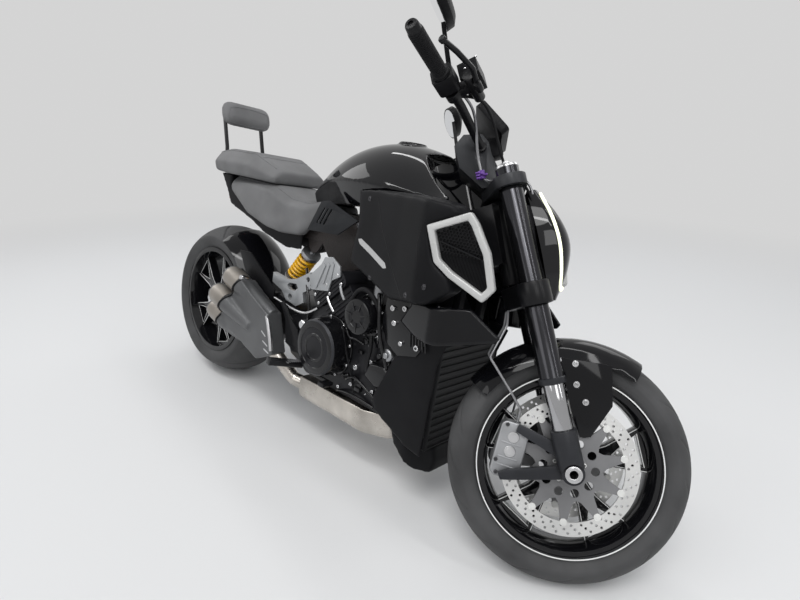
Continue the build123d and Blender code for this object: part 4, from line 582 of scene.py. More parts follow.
def grooveDepth(s, angle, across):
    t = abs(across)
    low, high = s["reach"]
    if t < low or t > high:
        return 0.0
    pitch = 2 * pi / s["grooves"]
    shift = s["stagger"] * pitch if across < 0 else 0.0
    share = (t - low) / (high - low)
    power = tyreSet["bend"]
    bend = s["direction"] * s["sweep"] * share ** power
    offset = (angle - shift - bend) % pitch
    offset = min(offset, pitch - offset) * s["radius"]
    slope = s["sweep"] * power * share ** (power - 1) / (high - low) * s["radius"]
    near = offset / math.sqrt(1 + slope * slope)
    width = s["grooveWidth"] * (0.55 + 0.45 * sin(pi * min(1, max(0, share)) ** 0.8))
    ends = min(1, min(share, 1 - share) * tyreSet["ends"])
    edge = (width / 2 - near) / tyreSet["edge"]
    return s["depth"] * ends * max(0.0, min(1.0, edge + 0.5))


def tyreMesh(s):
    rise = s["radius"] - s["shoulder"]
    crown = (s["half"] ** 2 + rise ** 2) / (2 * rise)
    seat, bead = s["rimHalf"] - tyreSet["seatIn"], tyreSet["beadOutside"]
    side = (bead + s["shoulder"]) / 2 - 2
    bulge = s["half"] - 1 + (s["half"] - seat) * 0.12
    rows = [(seat, tyreSet["beadInside"], False), (seat, bead, False)]  # across, radius, on tread
    for k in range(1, tyreSet["wallSteps"] + 1):  # sidewall from the rim to the shoulder, with two low ribs
        t = k / tyreSet["wallSteps"]
        across = (1 - t) ** 2 * seat + 2 * t * (1 - t) * bulge + t * t * s["half"]
        radius = (1 - t) ** 2 * bead + 2 * t * (1 - t) * side + t * t * s["shoulder"]
        rib = tyreSet["ribRise"] if k in tyreSet["ribSteps"] else 0
        rows.append((min(across, s["half"] - 0.2) + rib, radius, False))
    otherWall = [(-a, r, False) for a, r, _ in reversed(rows)]
    limit = math.asin(s["half"] / crown)
    for k in range(1, s["rows"]):
        a = limit * (1 - 2 * k / s["rows"])
        rows.append((crown * sin(a), s["radius"] - crown + crown * cos(a), True))
    rows += otherWall
    n, verts, faces = len(rows), [], []
    for k in range(s["around"]):
        angle = 2 * pi * k / s["around"]
        k2 = (k + 1) % s["around"]
        for across, radius, tread in rows:
            r = radius - (grooveDepth(s, angle, across) if tread else 0.0)
            verts.append((r * cos(angle), across, r * sin(angle)))
        faces += [(k * n + j, k2 * n + j, k2 * n + j + 1, k * n + j + 1) for j in range(n - 1)]
        faces.append((k * n + n - 1, k2 * n + n - 1, k2 * n, k * n))
    return newMesh(verts, faces)


meshPiece("frontTyre", tyreMesh(frontTyreSet), front, "tyreRubber", ("front_tyre",), smoothAngle=50)
meshPiece("rearTyre", tyreMesh(rearTyreSet), rear, "tyreRubber", ("rear_tyre",), smoothAngle=50)
print("tyres ready")

# Wheels: softened, with machined outlines on the faces of their five forked spokes
wheelSet = {"line": 2.0, "rise": 0.5, "root": (8, 17), "fork": (105, 23.5), "tip": (4, 56),
            "windowAt": (115, 152, 14), "windowHalf": (23.52, 42.56)}
faceTable = [  # piece, place, hub, reach of the spokes, faces
    ("frontWheelLines", front, 32, 199, (-14, 14)),
    ("rearWheelLines", rear, 46, 204, (-76, -40)),
]


def stripMesh(points, base, rise, closed):  # a narrow raised line along an outline in the side plane
    n, half = len(points), wheelSet["line"] / 2
    verts, faces = [], []
    for k, (x, z) in enumerate(points):
        a = points[k - 1] if closed or k > 0 else points[k]
        b = points[(k + 1) % n] if closed or k < n - 1 else points[k]
        size = hypot(b[0] - a[0], b[1] - a[1]) or 1
        nx, nz = -(b[1] - a[1]) / size * half, (b[0] - a[0]) / size * half
        verts += [(x + nx * p, base + q, z + nz * p) for p, q in ((1, 0), (1, rise), (-1, rise), (-1, 0))]
    for k in range(n if closed else n - 1):
        k2 = (k + 1) % n
        faces += [(k * 4 + j, k * 4 + (j + 1) % 4, k2 * 4 + (j + 1) % 4, k2 * 4 + j) for j in range(4)]
    if not closed:
        faces += [(3, 2, 1, 0), tuple((n - 1) * 4 + j for j in range(4))]
    return newMesh(verts, faces)


def spokeLines(s, hub, reach, face, rise):
    lines = []
    start, fork, end = s["windowAt"]
    near, far = s["windowHalf"]
    window = [(start, 0), (fork, near), (reach - end, far), (reach - end, -far), (fork, -near)]
    for k in range(5):
        turn = 2 * pi * k / 5
        for sign in (1, -1):
            edge = [(hub + s["root"][0], sign * s["root"][1]), (s["fork"][0], sign * s["fork"][1]),
                    (reach - s["tip"][0], sign * s["tip"][1])]
            lines.append(stripMesh(polar(edge, turn), face, rise, False))
        lines.append(stripMesh(polar(window, turn), face, rise, True))
    return lines


softenNode("front_wheel", "wheelBlack", 2.5, 3)
softenNode("rear_wheel", "wheelBlack", 3.0, 3)
for name, place, hub, reach, faces in faceTable:
    faceLines = []
    for face, side in zip(faces, (-1, 1)):
        faceLines += spokeLines(wheelSet, hub, reach, face, side * wheelSet["rise"])
    meshPiece(name, faceLines, place, "machinedLine")
rimProfile = [(56, 222.5), (56.8, 222.7), (56.8, 225.2), (56, 225.6)]
rimLines = [latheMesh([(side * a, r) for a, r in rimProfile], 120) for side in (-1, 1)]
meshPiece("frontRimLines", rimLines, front, "machinedLine", smoothAngle=30)
print("wheels ready")

# Brake discs: drilled rings, dark carriers with arms, and round bobbins between them
frontDiscSet = {"outer": 165, "inner": 131, "arms": 10, "carrierOuter": 122, "hub": 44, "face": 62,
                "thick": 5, "bobbin": 9, "groups": 36, "hole": 3.3}
rearDiscSet = {"outer": 132, "inner": 99, "arms": 6, "carrierOuter": 90, "hub": 38, "face": 40, "thick": 5,
               "bobbin": 8, "groups": 28, "hole": 3.0}


def discRing(s, side):
    low, high = sorted((side * s["face"], side * (s["face"] + s["thick"])))
    outlines = [ringPoints(s["outer"], 180), ringPoints(s["inner"], 120)]
    for g in range(s["groups"]):
        for k, r in enumerate((s["inner"] + 7, s["inner"] + 16.5, s["inner"] + 26)):
            turn = 2 * pi * (g + k / 3) / s["groups"]
            outlines.append(ringPoints(s["hole"], 12, (r * cos(turn), r * sin(turn))))
    return plateMesh(outlines, low + 0.4, high - 0.4)


def discCarrier(s, side):
    low, high = sorted((side * (s["face"] + 0.3), side * (s["face"] + s["thick"] - 0.3)))
    outer, inner, step = s["carrierOuter"], s["inner"] + 2, pi / s["arms"]
    root, floor = outer - 34, outer - 42  # where an arm begins, and the edge between two arms
    arm = ((root, -0.62), (outer, -0.24), (inner, -0.2), (inner, 0.2), (outer, 0.24), (root, 0.62),
           (floor, 1))
    outline, windows = [], []
    middle, window = (s["hub"] + floor) / 2, (floor - s["hub"]) * 0.3
    for k in range(s["arms"]):
        turn = 2 * pi * k / s["arms"]
        outline += [(r * cos(turn + a * step), r * sin(turn + a * step)) for r, a in arm]
        turn += step
        windows.append(ringPoints(window, 12, (middle * cos(turn), middle * sin(turn))))
    return plateMesh([outline, ringPoints(s["hub"] - 14, 40), *windows], low, high)


def bobbins(s, side):
    made, r, outer = [], s["inner"] + 0.5, side * (s["face"] + s["thick"] + 1.6)
    for k in range(s["arms"]):
        turn = 2 * pi * k / s["arms"]
        centre = (r * cos(turn), r * sin(turn))
        made.append(discMesh(s["bobbin"], side * (s["face"] - 1.2), outer, 20, centre, 0.8))
        made.append(discMesh(s["bobbin"] * 0.5, outer, outer + side * 0.6, 14, centre, 0.3))
    return made


rings, carriers, frontBobbins = [], [], []
for side in (-1, 1):
    rings.append(discRing(frontDiscSet, side))
    carriers.append(discCarrier(frontDiscSet, side))
    frontBobbins += bobbins(frontDiscSet, side)
for side in (-1, 1):
    profile = [(56, 28), (56, 46), (frontDiscSet["face"], 48), (67.6, 44), (67.6, 27)]
    carriers.append(latheMesh([(side * a, r) for a, r in profile], 48))
    frontBobbins += [boltMesh(centre, side * 67, side * 3) for centre in ringPoints(37, 5)]
meshPiece("frontDiscRings", rings, front, "discSteel", ("front_discs",), smoothAngle=30)
meshPiece("frontDiscCarriers", carriers, front, "carrierGrey", smoothAngle=30)
meshPiece("frontDiscBobbins", frontBobbins, front, "bobbinPale", smoothAngle=30)
meshPiece("rearDiscRing", discRing(rearDiscSet, 1), rear, "discSteel", ("rear_disc",), smoothAngle=30)
rearHubProfile = [(30, 28.5), (30, 44), (40, 44), (46, 40), (46, 28.5)]
rearCarrier = [discCarrier(rearDiscSet, 1), latheMesh(rearHubProfile, 40)]
meshPiece("rearDiscCarrier", rearCarrier, rear, "anthracite", smoothAngle=30)
meshPiece("rearDiscBobbins", bobbins(rearDiscSet, 1), rear, "boltSteel", smoothAngle=30)
print("discs ready")

# Seats and backrest: padded covers with piping and stitches along their seams
seatSet = {"voxel": 5.0, "passes": 26, "shrink": 0.6, "piping": 1.6, "stitch": 0.55, "stitchLength": 4.0,
           "stitchGap": 3.0, "stitchIn": 9, "stitchUp": 6}


def padTreeOf(node):  # pads a node and gives its surface
    piece = mouldNode(node, "seatCover", seatSet["voxel"], seatSet["passes"], shrink=seatSet["shrink"])
    return treeOf([piece.data], bikeFrame)


def stitchRow(name, tree, points):
    s, made, walked, nextAt = seatSet, [], 0.0, 0.0
    line = [Vector(p) for p in seamLine(tree, points, 30)]
    for a, b in zip(line, line[1:]):
        step = (b - a).length
        walked += step
        if walked >= nextAt and step > 0.01:
            along = (b - a) / step
            normal = tree.find_nearest(b)[1]
            side = along.cross(normal).normalized() * s["stitch"]
            corners = ((1, -0.6), (1, 0.35), (-1, 0.35), (-1, -0.6))
            made.append(ringLoft([[tuple(b + along * end * s["stitchLength"] / 2 + side * p + normal * q)
                                   for p, q in corners] for end in (-1, 1)]))
            nextAt = walked + s["stitchLength"] + s["stitchGap"]
    meshPiece(name, made, bike, "stitchGrey", smoothAngle=0)


def piping(name, tree, points):
    tubePiece(name, seamLine(tree, points), seatSet["piping"], bike, "seatCover", around=2)


seatTrees = [padTreeOf(node) for node in ("rider_seat", "passenger_seat", "backrest_pad")]
seamTable = [
    ("rider", [(70, 74, 868), (250, 100, 866), (400, 112, 858), (500, 108, 822), (585, 92, 818),
               (640, 50, 845)]),
    ("passenger", [(-100, 44, 930), (-40, 92, 950), (60, 106, 962), (250, 110, 958), (370, 96, 912)]),
]
for side, mark in reversed(sides):
    for (name, points), tree in zip(seamTable, seatTrees):
        seam = [onSide(p, side) for p in points]
        piping(name + "Piping" + mark, tree, seam)
        stitchRow(name + "Stitches" + mark, tree,
                  [(x, y - side * seatSet["stitchIn"], z + seatSet["stitchUp"]) for x, y, z in seam])
piping("passengerCrossPiping", seatTrees[1], [(300, y, 980) for y in (-120, -60, 0, 60, 120)])
piping("backrestPiping", seatTrees[2], [(12, -104, 1103), (12, -92, 1140), (8, 0, 1150), (12, 92, 1140),
                                        (12, 104, 1103), (16, 92, 1064), (16, 0, 1056), (16, -92, 1064),
                                        (12, -104, 1103)])
print("seats ready")

# Bodywork: moulded panels, the silver stripe, the rings and their fine mesh
mouldTable = [  # node, finish, voxel, passes of smoothing, share of faces kept
    ("side_panels", "mattePlastic", 4.0, 90, 0.4), ("fuel_tank", "deepGloss", 3.2, 14, 0.45),
    ("tail_unit", "mattePlastic", 4.0, 16, 0.5), ("belly_pan", "mattePlastic", 4.0, 40, 0.5),
    ("radiator_cowls", "mattePlastic", 3.5, 30, 0.5), ("side_blades", "glossBlack", 3.0, 30, 0.5),
]
moulded = {row[0]: mouldNode(*row) for row in mouldTable}
panelTree = treeOf([moulded["side_panels"].data], bikeFrame)
stripeSet = {"line": [(929, 751), (1086, 700)], "width": 17, "rise": 0.9, "seamWidth": 1.8, "seamRise": 0.35}
stripe = laidStrip(panelTree, stripeSet["line"], stripeSet["width"], stripeSet["rise"])
meshPiece("panelStripes", bothSides([stripe]), bike, "stripeSilver")
ringSet = {"origin": (1330, -231, 780), "turn": 17, "width": 17, "cell": 8.4, "wall": 1.5, "depth": 16,
           "thick": 2.2, "ringDepth": 24}
ringCorners = [(-98, 58), (-65, -27), (-24, -55), (69, -97), (94, -63), (67, 19), (26, 83), (6, 105)]


def crossed(a, b):
    return a.x * b.y - a.y * b.x


def inset(corners, distance):  # a convex outline moved inwards
    middle = Vector((sum(c[0] for c in corners) / len(corners), sum(c[1] for c in corners) / len(corners)))
    lines = []
    for k, a in enumerate(corners):
        a, b = Vector(a), Vector(corners[(k + 1) % len(corners)])
        normal = Vector((-(b - a).y, (b - a).x)).normalized()
        if normal.dot(middle - a) < 0:
            normal = -normal
        lines.append((a + normal * distance, b - a))
    made = []
    for k, (q, e) in enumerate(lines):
        p, d = lines[k - 1]
        made.append(tuple(p + d * (crossed(q - p, e) / crossed(d, e))))
    return made


def isInside(point, corners):
    turns = [crossed(Vector(corners[(k + 1) % len(corners)]) - Vector(a), Vector(point) - Vector(a))
             for k, a in enumerate(corners)]
    return all(t > 0 for t in turns) or all(t < 0 for t in turns)


def ringPlace(side):
    turned = Matrix.Rotation(radians(ringSet["turn"]), 4, "Z")
    place = Matrix.Translation(Vector(ringSet["origin"]) * mm) @ turned
    return bikeFrame @ (place if side < 0 else Matrix.Diagonal((1, -1, 1, 1)) @ place), "chassis"


def grilleMeshes(s):
    room = inset(ringCorners, s["width"] + s["cell"] * 0.62)
    outlines = [inset(ringCorners, s["width"] + 0.5)]
    for row in range(-16, 17):
        for column in range(-14, 15):
            centre = ((column + (0.5 if row % 2 else 0)) * s["cell"], row * s["cell"] * math.sqrt(3) / 2)
            if isInside(centre, room):
                outlines.append(ringPoints((s["cell"] - s["wall"]) / math.sqrt(3), 6, centre, pi / 6))
    near = s["depth"]  # and a slanted vane in front of the mesh
    vane = boxMesh((-58, near - 12, 10), (46, near - 1, 13.4))
    vane.transform(Matrix.Translation((0, 0, mm)) @ Matrix.Rotation(radians(13), 4, "Y"))
    return [plateMesh(outlines, near, near + s["thick"]), vane]


for side, mark in sides:
    s, place, first = ringSet, ringPlace(side), side < 0
    ring = plateMesh([ringCorners, inset(ringCorners, s["width"])], 0.2, s["ringDepth"])
    backing = plateMesh([inset(ringCorners, s["width"] - 2)], s["depth"] + 3.4, s["ringDepth"] - 0.2)
    grilles, ringNodes = (("intake_grilles",), ("intake_rings",)) if first else ((), ())
    meshPiece("intakeMesh" + mark, grilleMeshes(s), place, "glossBlack", grilles)
    meshPiece("intakeRing" + mark, ring, place, "ringSilver", ringNodes, edge=5, segments=4)
    meshPiece("intakeBack" + mark, backing, place, "gripRubber")

# Panel seams and screws, pressed into the matte faces
panelSeams, panelScrews = [], []
for points in ([(1000, 880), (1040, 800), (1120, 700), (1180, 640)], [(1235, 860), (1215, 790), (1235, 700)]):
    panelSeams += [laidStrip(panelTree, points, stripeSet["seamWidth"], stripeSet["seamRise"], side, 8)
                   for side in (-1, 1)]
for centre in ((915, 790), (1010, 655), (1200, 655), (1255, 690), (1262, 850), (960, 872)):
    for side in (-1, 1):
        base = sideHit(panelTree, *centre, side)
        panelScrews.append(discMesh(7.5, base - side * 2, base + side * 0.8, 28, centre, 0.5))
        panelScrews.append(boltMesh(centre, base - side, side * 3.4, 4.4))
meshPiece("panelSeams", panelSeams, bike, "glossBlack")
meshPiece("panelScrews", panelScrews, bike, "darkBolt", smoothAngle=30)
print("bodywork ready")

# Headlamp: a smooth dark lens with two light guides shaped like facing brackets
lampSet = {"back": 42, "low": 409, "high": 697, "steps": 22, "around": 20, "guide": 4.6, "guideLift": 1.5}
# heights with half width and depth, then heights with a share of the half width
lampStations = [(409, 34, 22), (470, 74, 62), (545, 93, 86), (620, 88, 72), (697, 58, 34)]
guideTable = [(438, 0.2), (430, 0.55), (438, 0.9), (480, 0.975), (545, 0.985), (610, 0.98), (655, 0.96),
              (682, 0.88), (688, 0.5), (683, 0.15)]


def between(stations, height):  # a smooth run through the stations
    k = max(0, min(len(stations) - 2, sum(1 for s in stations if s[0] <= height) - 1))
    t = (height - stations[k][0]) / (stations[k + 1][0] - stations[k][0])
    made = []
    for column in range(1, len(stations[0])):
        p1, p2 = stations[k][column], stations[k + 1][column]
        p0 = stations[k - 1][column] if k > 0 else 2 * p1 - p2
        p3 = stations[k + 2][column] if k + 2 < len(stations) else 2 * p2 - p1
        bend = 2 * p0 - 5 * p1 + 4 * p2 - p3 + t * (3 * (p1 - p2) + p3 - p0)
        made.append(p1 + 0.5 * t * (p2 - p0 + t * bend))
    return made


def lampRing(height):
    s, (half, depth) = lampSet, between(lampStations, height)
    ring = [(s["back"], half * 0.98, height), (s["back"], -half * 0.98, height)]
    for k in range(s["around"] + 1):
        a = -pi / 2 + pi * k / s["around"]
        nose = 0.6 * depth * cos(a) ** 0.8 if cos(a) > 0.001 else 0
        ring.append((s["back"] + 0.4 * depth + nose, half * sin(a), height))
    return ring


lampStep = (lampSet["high"] - lampSet["low"]) / lampSet["steps"]
lens = ringLoft([lampRing(lampSet["low"] + lampStep * k) for k in range(lampSet["steps"] + 1)])
meshPiece("headlampLens", lens, fork, "lensBlack", ("headlamp",), smoothAngle=40)
for side, mark in sides:
    guide = []
    for height, share in guideTable:
        half, depth = between(lampStations, height)
        nose = 0.6 * depth * cos(math.asin(share)) ** 0.8
        out = lampSet["back"] + 0.4 * depth + nose + lampSet["guideLift"]
        guide.append((out, side * (half * share + 0.5), height))
    tubePiece("lightGuide" + mark, guide, lampSet["guide"], fork, "lampGlow", around=4)
print("headlamp ready")

# Fork: end caps with adjusters, wiper rings, and the hoses tied in front of the yokes
forkSet = {
    "spread": 105,
    "cap": [(752, 29.2), (757, 28.2), (760, 26), (760.4, 22), (758, 21.5), (758, 0.1)],
    "adjuster": [(758, 13), (766, 13), (768, 11), (768, 5), (765, 5), (765, 0.1)],
    "wiper": [(212.4, 25.3), (212.4, 31), (214, 32), (226, 32), (228, 29.4)],
}


def forkRings(*parts):  # turned parts on both legs
    return [moved(latheMesh(forkSet[part], steps, "z"), 0, side * forkSet["spread"]) for side in (-1, 1)
            for part, steps in parts]


meshPiece("forkCaps", forkRings(("cap", 40), ("adjuster", 6)), fork, "bareAlloy")
meshPiece("forkWipers", forkRings(("wiper", 40)), fork, "anthracite")
hoseTable = [  # name, radius, finish, points in the fork frame
    ("hoseClutch", 3.6, "gripRubber", [
        (-88, -230, 905), (-40, -215, 905), (-10, -130, 880), (-6, -92, 800), (4, -74, 740), (44, -70, 712),
        (52, -66, 640), (46, -60, 560), (46, -58, 470)]),
    ("hoseBrake", 3.6, "hoseGrey", [
        (-96, -262, 918), (-62, -205, 904), (-52, -140, 874), (-62, -92, 816), (-62, -84, 764),
        (-58, -80, 744), (-40, -72, 738), (0, -64, 739), (46, -62, 730), (58, -60, 690), (50, -56, 600),
        (46, -52, 500)]),
    ("cableLeft", 3.4, "gripRubber", [
        (-88, 250, 905), (-40, 225, 898), (-10, 140, 868), (-8, 94, 790), (2, 76, 736), (44, 70, 708),
        (50, 62, 620), (46, 56, 500)]),
    ("cableMiddle", 3.0, "gripRubber", [
        (-80, 180, 886), (-62, 130, 850), (-90, 96, 780), (-92, 84, 720), (-80, 70, 600), (-70, 56, 480)]),
]
for name, radius, finish, points in hoseTable:
    tubePiece(name, points, radius, fork, finish, around=3)
tieSet = {"x": -61, "y": -84, "low": 746, "high": 768, "radius": 8.5, "inner": 4, "loop": 13, "wave": 5,
          "wire": 2.6}


def tiePoint(s, a):
    middle = (s["low"] + s["high"]) / 2
    return s["x"] + s["loop"] * cos(a), s["y"] + s["loop"] * sin(a), middle + s["wave"] * sin(2 * a)


def tieMeshes(s):
    x, y, low, high = s["x"], s["y"], s["low"], s["high"]
    profile = [(low, s["inner"]), (low, s["radius"]), (high, s["radius"]), (high, s["inner"])]
    ends = [boxMesh((x - 16, y - 14, low + 7 * k), (x - 5, y - 4 - 3 * k, low + 4 + 7 * k)) for k in range(3)]
    return [moved(latheMesh(profile, 20, "z"), x, y), *ends]


tieLine = [tiePoint(tieSet, pi * k / 5) for k in range(11)]
tubePiece("purpleTie", tieLine, tieSet["wire"], fork, "tiePurple", around=3)
meshPiece("tieBand", tieMeshes(tieSet), fork, "tiePurple", edge=0.8)

# Handlebar ends: ribbed grips with collars
gripSet = {"start": (-119.4, 312.9, 928.4), "way": (-0.2863, 0.9145, 0.2863), "length": 127, "radius": 16.4,
           "ribs": 24, "rib": 0.9}
gripEnd = [(126, 15.4), (128, 15.6), (141, 13.9), (144, 12), (144.5, 6), (141, 5.4), (141, 0.1)]
gripCollar = [(-2.8, 16), (-2.8, 19.6), (-1, 20.4), (1, 19.4), (1.2, 16)]


def gripMesh(s):
    radius, length = s["radius"], s["length"]
    profile = [(0, 11.2), (0, radius + 4.2), (4.5, radius + 4.2), (5.5, radius + 1)]
    pitch = (length - 12) / s["ribs"]
    for k in range(s["ribs"]):
        profile += [(7 + (k + share) * pitch, radius + rise)
                    for share, rise in ((0, -0.3), (0.25, s["rib"]), (0.7, s["rib"]), (0.95, -0.3))]
    return latheMesh(profile + [(length - 3, radius + 0.4), (length, radius - 0.6)], 40)


for side, mark in sides:
    place = wayFrame(forkFrame, onSide(gripSet["start"], side), onSide(gripSet["way"], side)), "steering_head"
    meshPiece("grip" + mark, gripMesh(gripSet), place, "gripRubber", ("grips",) if side > 0 else ())
    meshPiece("barEnd" + mark, [latheMesh(gripEnd, 32), latheMesh(gripCollar, 32)], place, "satinBlack")

# Mirrors: a glass inside the rim of each, in layers of a lift and an inset
mirrorSet = {"way": (-0.9, -0.12, -0.3), "margin": 4, "layers": ((-0.5, 0), (0.5, 0), (1.0, 0.8))}


def hullOf(points):  # the convex outline round flat points
    points = sorted(set((round(a, 2), round(b, 2)) for a, b in points))
    half = []
    for run in (points, points[::-1]):
        chain = []
        for p in run:
            p = Vector(p)
            while len(chain) > 1 and crossed(chain[-1] - chain[-2], p - chain[-2]) <= 0.5:
                chain.pop()
            chain.append(p)
        half += chain[:-1]
    return half


def flatCorners(node, matrix, way, side):
    # corners of a node's faces that look one way, on one side of the middle
    back = Matrix.Scale(1000, 4) @ matrix.inverted()
    turn = back.to_3x3().normalized()
    data = frame["nodes"][node].data
    found = []
    for face in data.polygons:
        points = [back @ data.vertices[v].co for v in face.vertices]
        if (turn @ face.normal).dot(way) > 0.998 and min(p.y * side for p in points) > 0:
            found += points
    return found


for side, mark in sides:
    way = Vector(onSide(mirrorSet["way"], side)).normalized()
    rim = flatCorners("mirrors", forkFrame, way, side)
    high = (Vector((0, 0, 1)) - way * way.z).normalized()
    wide = high.cross(way).normalized()
    depth = max(p.dot(way) for p in rim)
    outline = hullOf([(p.dot(wide), p.dot(high)) for p in rim if p.dot(way) > depth - 1])
    outline = inset(outline, mirrorSet["margin"])
    glass = [[tuple(way * (depth + lift) + wide * a + high * b) for a, b in inset(outline, edge)]
             for lift, edge in mirrorSet["layers"]]
    meshPiece("mirrorGlass" + mark, ringLoft(glass), fork, "mirrorGlass", smoothAngle=20)

# Front calipers: piston caps, bolts and ribs on their outer faces
caliperSet = {"angle": 153, "radius": 148, "caps": (-33, 3), "capRadius": 14, "ribs": (-16, 20, 40),
              "bolts": ((-60, -20), (-60, 22), (60, -22), (60, 20), (30, 28)), "start": 200, "other": 82,
              "bare": 60}


def onCaliper(along, out):  # a point of the side plane from distances along and away from the wheel
    return polar([(caliperSet["radius"] + out, along)], radians(caliperSet["angle"]))[0]


def caliperFace(centre, side):
    return sideHit(caliperTree, *centre, side, caliperSet["start"], caliperSet["other"])


softenNode("front_calipers", "castAlloy", 4.0, 3)
caliperTree = nodesTree(forkFrame, "front_calipers")
caliperCaps, caliperBolts, caliperRibs = [], [], []
for side in (-1, 1):
    for at in caliperSet["caps"]:
        centre, radius = onCaliper(at, 0), caliperSet["capRadius"]
        base = caliperFace(centre, side)
        caliperCaps.append(discMesh(radius, base - side, base + side * 2.4, 32, centre, 1.2))
        caliperCaps.append(discMesh(radius - 5, base + side * 2.2, base + side * 3.2, 24, centre, 0.6))
    for at, out in caliperSet["bolts"]:
        centre = onCaliper(at, out)
        base = caliperFace(centre, side)
        if abs(base) > caliperSet["bare"]:
            caliperBolts.append(boltMesh(centre, base - side, side * 5))
    for at in caliperSet["ribs"]:
        rib = [onCaliper(at + p, q) for p, q in ((-2, -24), (2, -24), (2, 26), (-2, 26))]
        base = caliperFace(onCaliper(at, 0), side)
        caliperRibs.append(slabMesh(rib, base - side, base + side * 1.6))
meshPiece("caliperCaps", caliperCaps, fork, "bareAlloy", smoothAngle=30)
meshPiece("caliperBolts", caliperBolts, fork, "darkBolt", smoothAngle=30)
meshPiece("caliperRibs", caliperRibs, fork, "castAlloy", edge=0.6)

# Fluid cups: pale lids with screws
cupSet = {"x": -48, "y": 232, "start": 1100, "screws": (14, 18), "lid": (22, 25),
          "layers": ((-1, 0.62), (1, 0.62), (1.6, 0.56)),
          "corners": ((-1, -0.6), (-0.6, -1), (0.6, -1), (1, -0.6), (1, 0.6), (0.6, 1), (-0.6, 1), (-1, 0.6))}
cupTree = nodesTree(forkFrame, "fluid_cups")
cupLids, cupScrews = [], []
for side in (-1, 1):
    x, y = cupSet["x"], side * cupSet["y"]
    for p, q in ((-1, -1), (1, -1), (-1, 1), (1, 1)):
        a, b = x + p * cupSet["screws"][0], y + side * q * cupSet["screws"][1]
        top = dropHit(cupTree, a, b, cupSet["start"])
        if top:
            cupScrews.append(moved(screwMesh(top, 3.4, 1, 1), a, b))
    top = dropHit(cupTree, x, y, cupSet["start"])
    long, wide = cupSet["lid"]
    layers = [[(x + p * long * size, y + q * wide * size, top + lift) for p, q in cupSet["corners"]]
              for lift, size in cupSet["layers"]]
    cupLids.append(ringLoft(layers))
meshPiece("cupLids", cupLids, fork, "cupPale", edge=0.5)
meshPiece("cupScrews", cupScrews, fork, "boltBright")

# Mudguard carriers: screws on each side of the guard
guardTree = nodesTree(forkFrame, "front_mudguard")
guardScrews = []
for centre in ((58, 196), (66, 246), (28, 262), (70, 150)):
    for side in (-1, 1):
        base = sideHit(guardTree, *centre, side, start=200, other=0)
        if base:
            guardScrews.append(discMesh(8, base - side, base + side * 1.2, 28, centre, 0.5))
            guardScrews.append(boltMesh(centre, base, side * 4.2))
meshPiece("guardScrews", guardScrews, fork, "boltBright", smoothAngle=30)
print("steering pieces ready")

# Engine: round covers, ribbed head covers, a ribbed plate, bolts, hoses and pipes
clutchCover = {"centre": (822, 384), "side": -1, "circle": 96.8, "bolts": 9, "clear": 106, "profile": [
    (130.5, 100), (136, 100), (137.5, 98.5), (137.5, 93.5), (186, 93), (198, 90.5), (205, 85), (207.5, 78),
    (207.5, 66), (205.6, 64), (205.6, 47), (207.4, 45), (207.4, 38), (205.6, 36), (205.6, 0.1)]}
smallCover = {"centre": (975, 528), "side": -1, "circle": 60.4, "bolts": 6, "clear": 68, "profile": [
    (130.5, 64), (135, 64), (136.5, 62), (136.5, 56), (178, 56), (187, 52.5), (189.5, 46), (189.5, 33),
    (187.6, 31), (187.6, 20), (189, 18), (189, 0.1)]}
leftCover = {"centre": (925, 372), "side": 1, "circle": 88.6, "bolts": 9, "clear": 98, "profile": [
    (130.5, 92), (136, 92), (137.5, 90), (137.5, 85), (170, 85), (182, 82), (187.5, 75), (187.5, 58),
    (185.8, 56), (185.8, 30), (188, 28), (188, 0.1)]}
coverMeshes, coverBolts = [], []
for s in (clutchCover, smallCover, leftCover):
    (x, z), side = s["centre"], s["side"]
    coverMeshes.append(moved(latheMesh([(side * a, r) for a, r in s["profile"]], 72), x, 0, z))
    for k in range(s["bolts"]):
        turn = 2 * pi * (k + 0.4) / s["bolts"]
        centre = (x + s["circle"] * cos(turn), z + s["circle"] * sin(turn))
        coverBolts.append(boltMesh(centre, side * 136.4, side * 6, 4.6))
meshPiece("roundCovers", coverMeshes, bike, "engineGloss", smoothAngle=25)
bankSet = {"crank": (945, 400), "banks": ((42, 221), (132, 201))}  # angle of a bank, reach of its block


def bankPoint(bank, ahead, across):  # a point along and across one bank of cylinders, from the crankshaft
    p, q = polar([(ahead, across)], radians(bank))[0]
    return bankSet["crank"][0] + p, bankSet["crank"][1] + q


def barAcross(bank, ahead, half, thick, low, high):
    corners = ((-0.5, -1), (0.5, -1), (0.5, 1), (-0.5, 1))
    return slabMesh([bankPoint(bank, ahead + p * thick, q * half) for p, q in corners], low, high)


ribTable = [  # count, distance past the block's reach and its step, half width and its step, thickness, y
    (6, (-22, -13), (68, -2), 4.5, (-133.5, -129)),
    (4, (4, 12), (74, 0), 4, (-151.5, -147)),
]
ribMeshes, headBolts = [], []
for bank, reach in bankSet["banks"]:
    for count, past, half, thick, depths in ribTable:
        for k in range(count):
            ahead, wide = reach + past[0] + past[1] * k, half[0] + half[1] * k
            ribMeshes += bothSides([barAcross(bank, ahead, wide, thick, *depths)])
    for ahead in (reach + 6, reach + 38):
        for across in (-64, 0, 64):
            centre = bankPoint(bank, ahead, across)
            headBolts += [boltMesh(centre, side * 147, side * 9, 5.5) for side in (-1, 1)]
meshPiece("engineRibs", ribMeshes, bike, "engineBlack", edge=1.0)

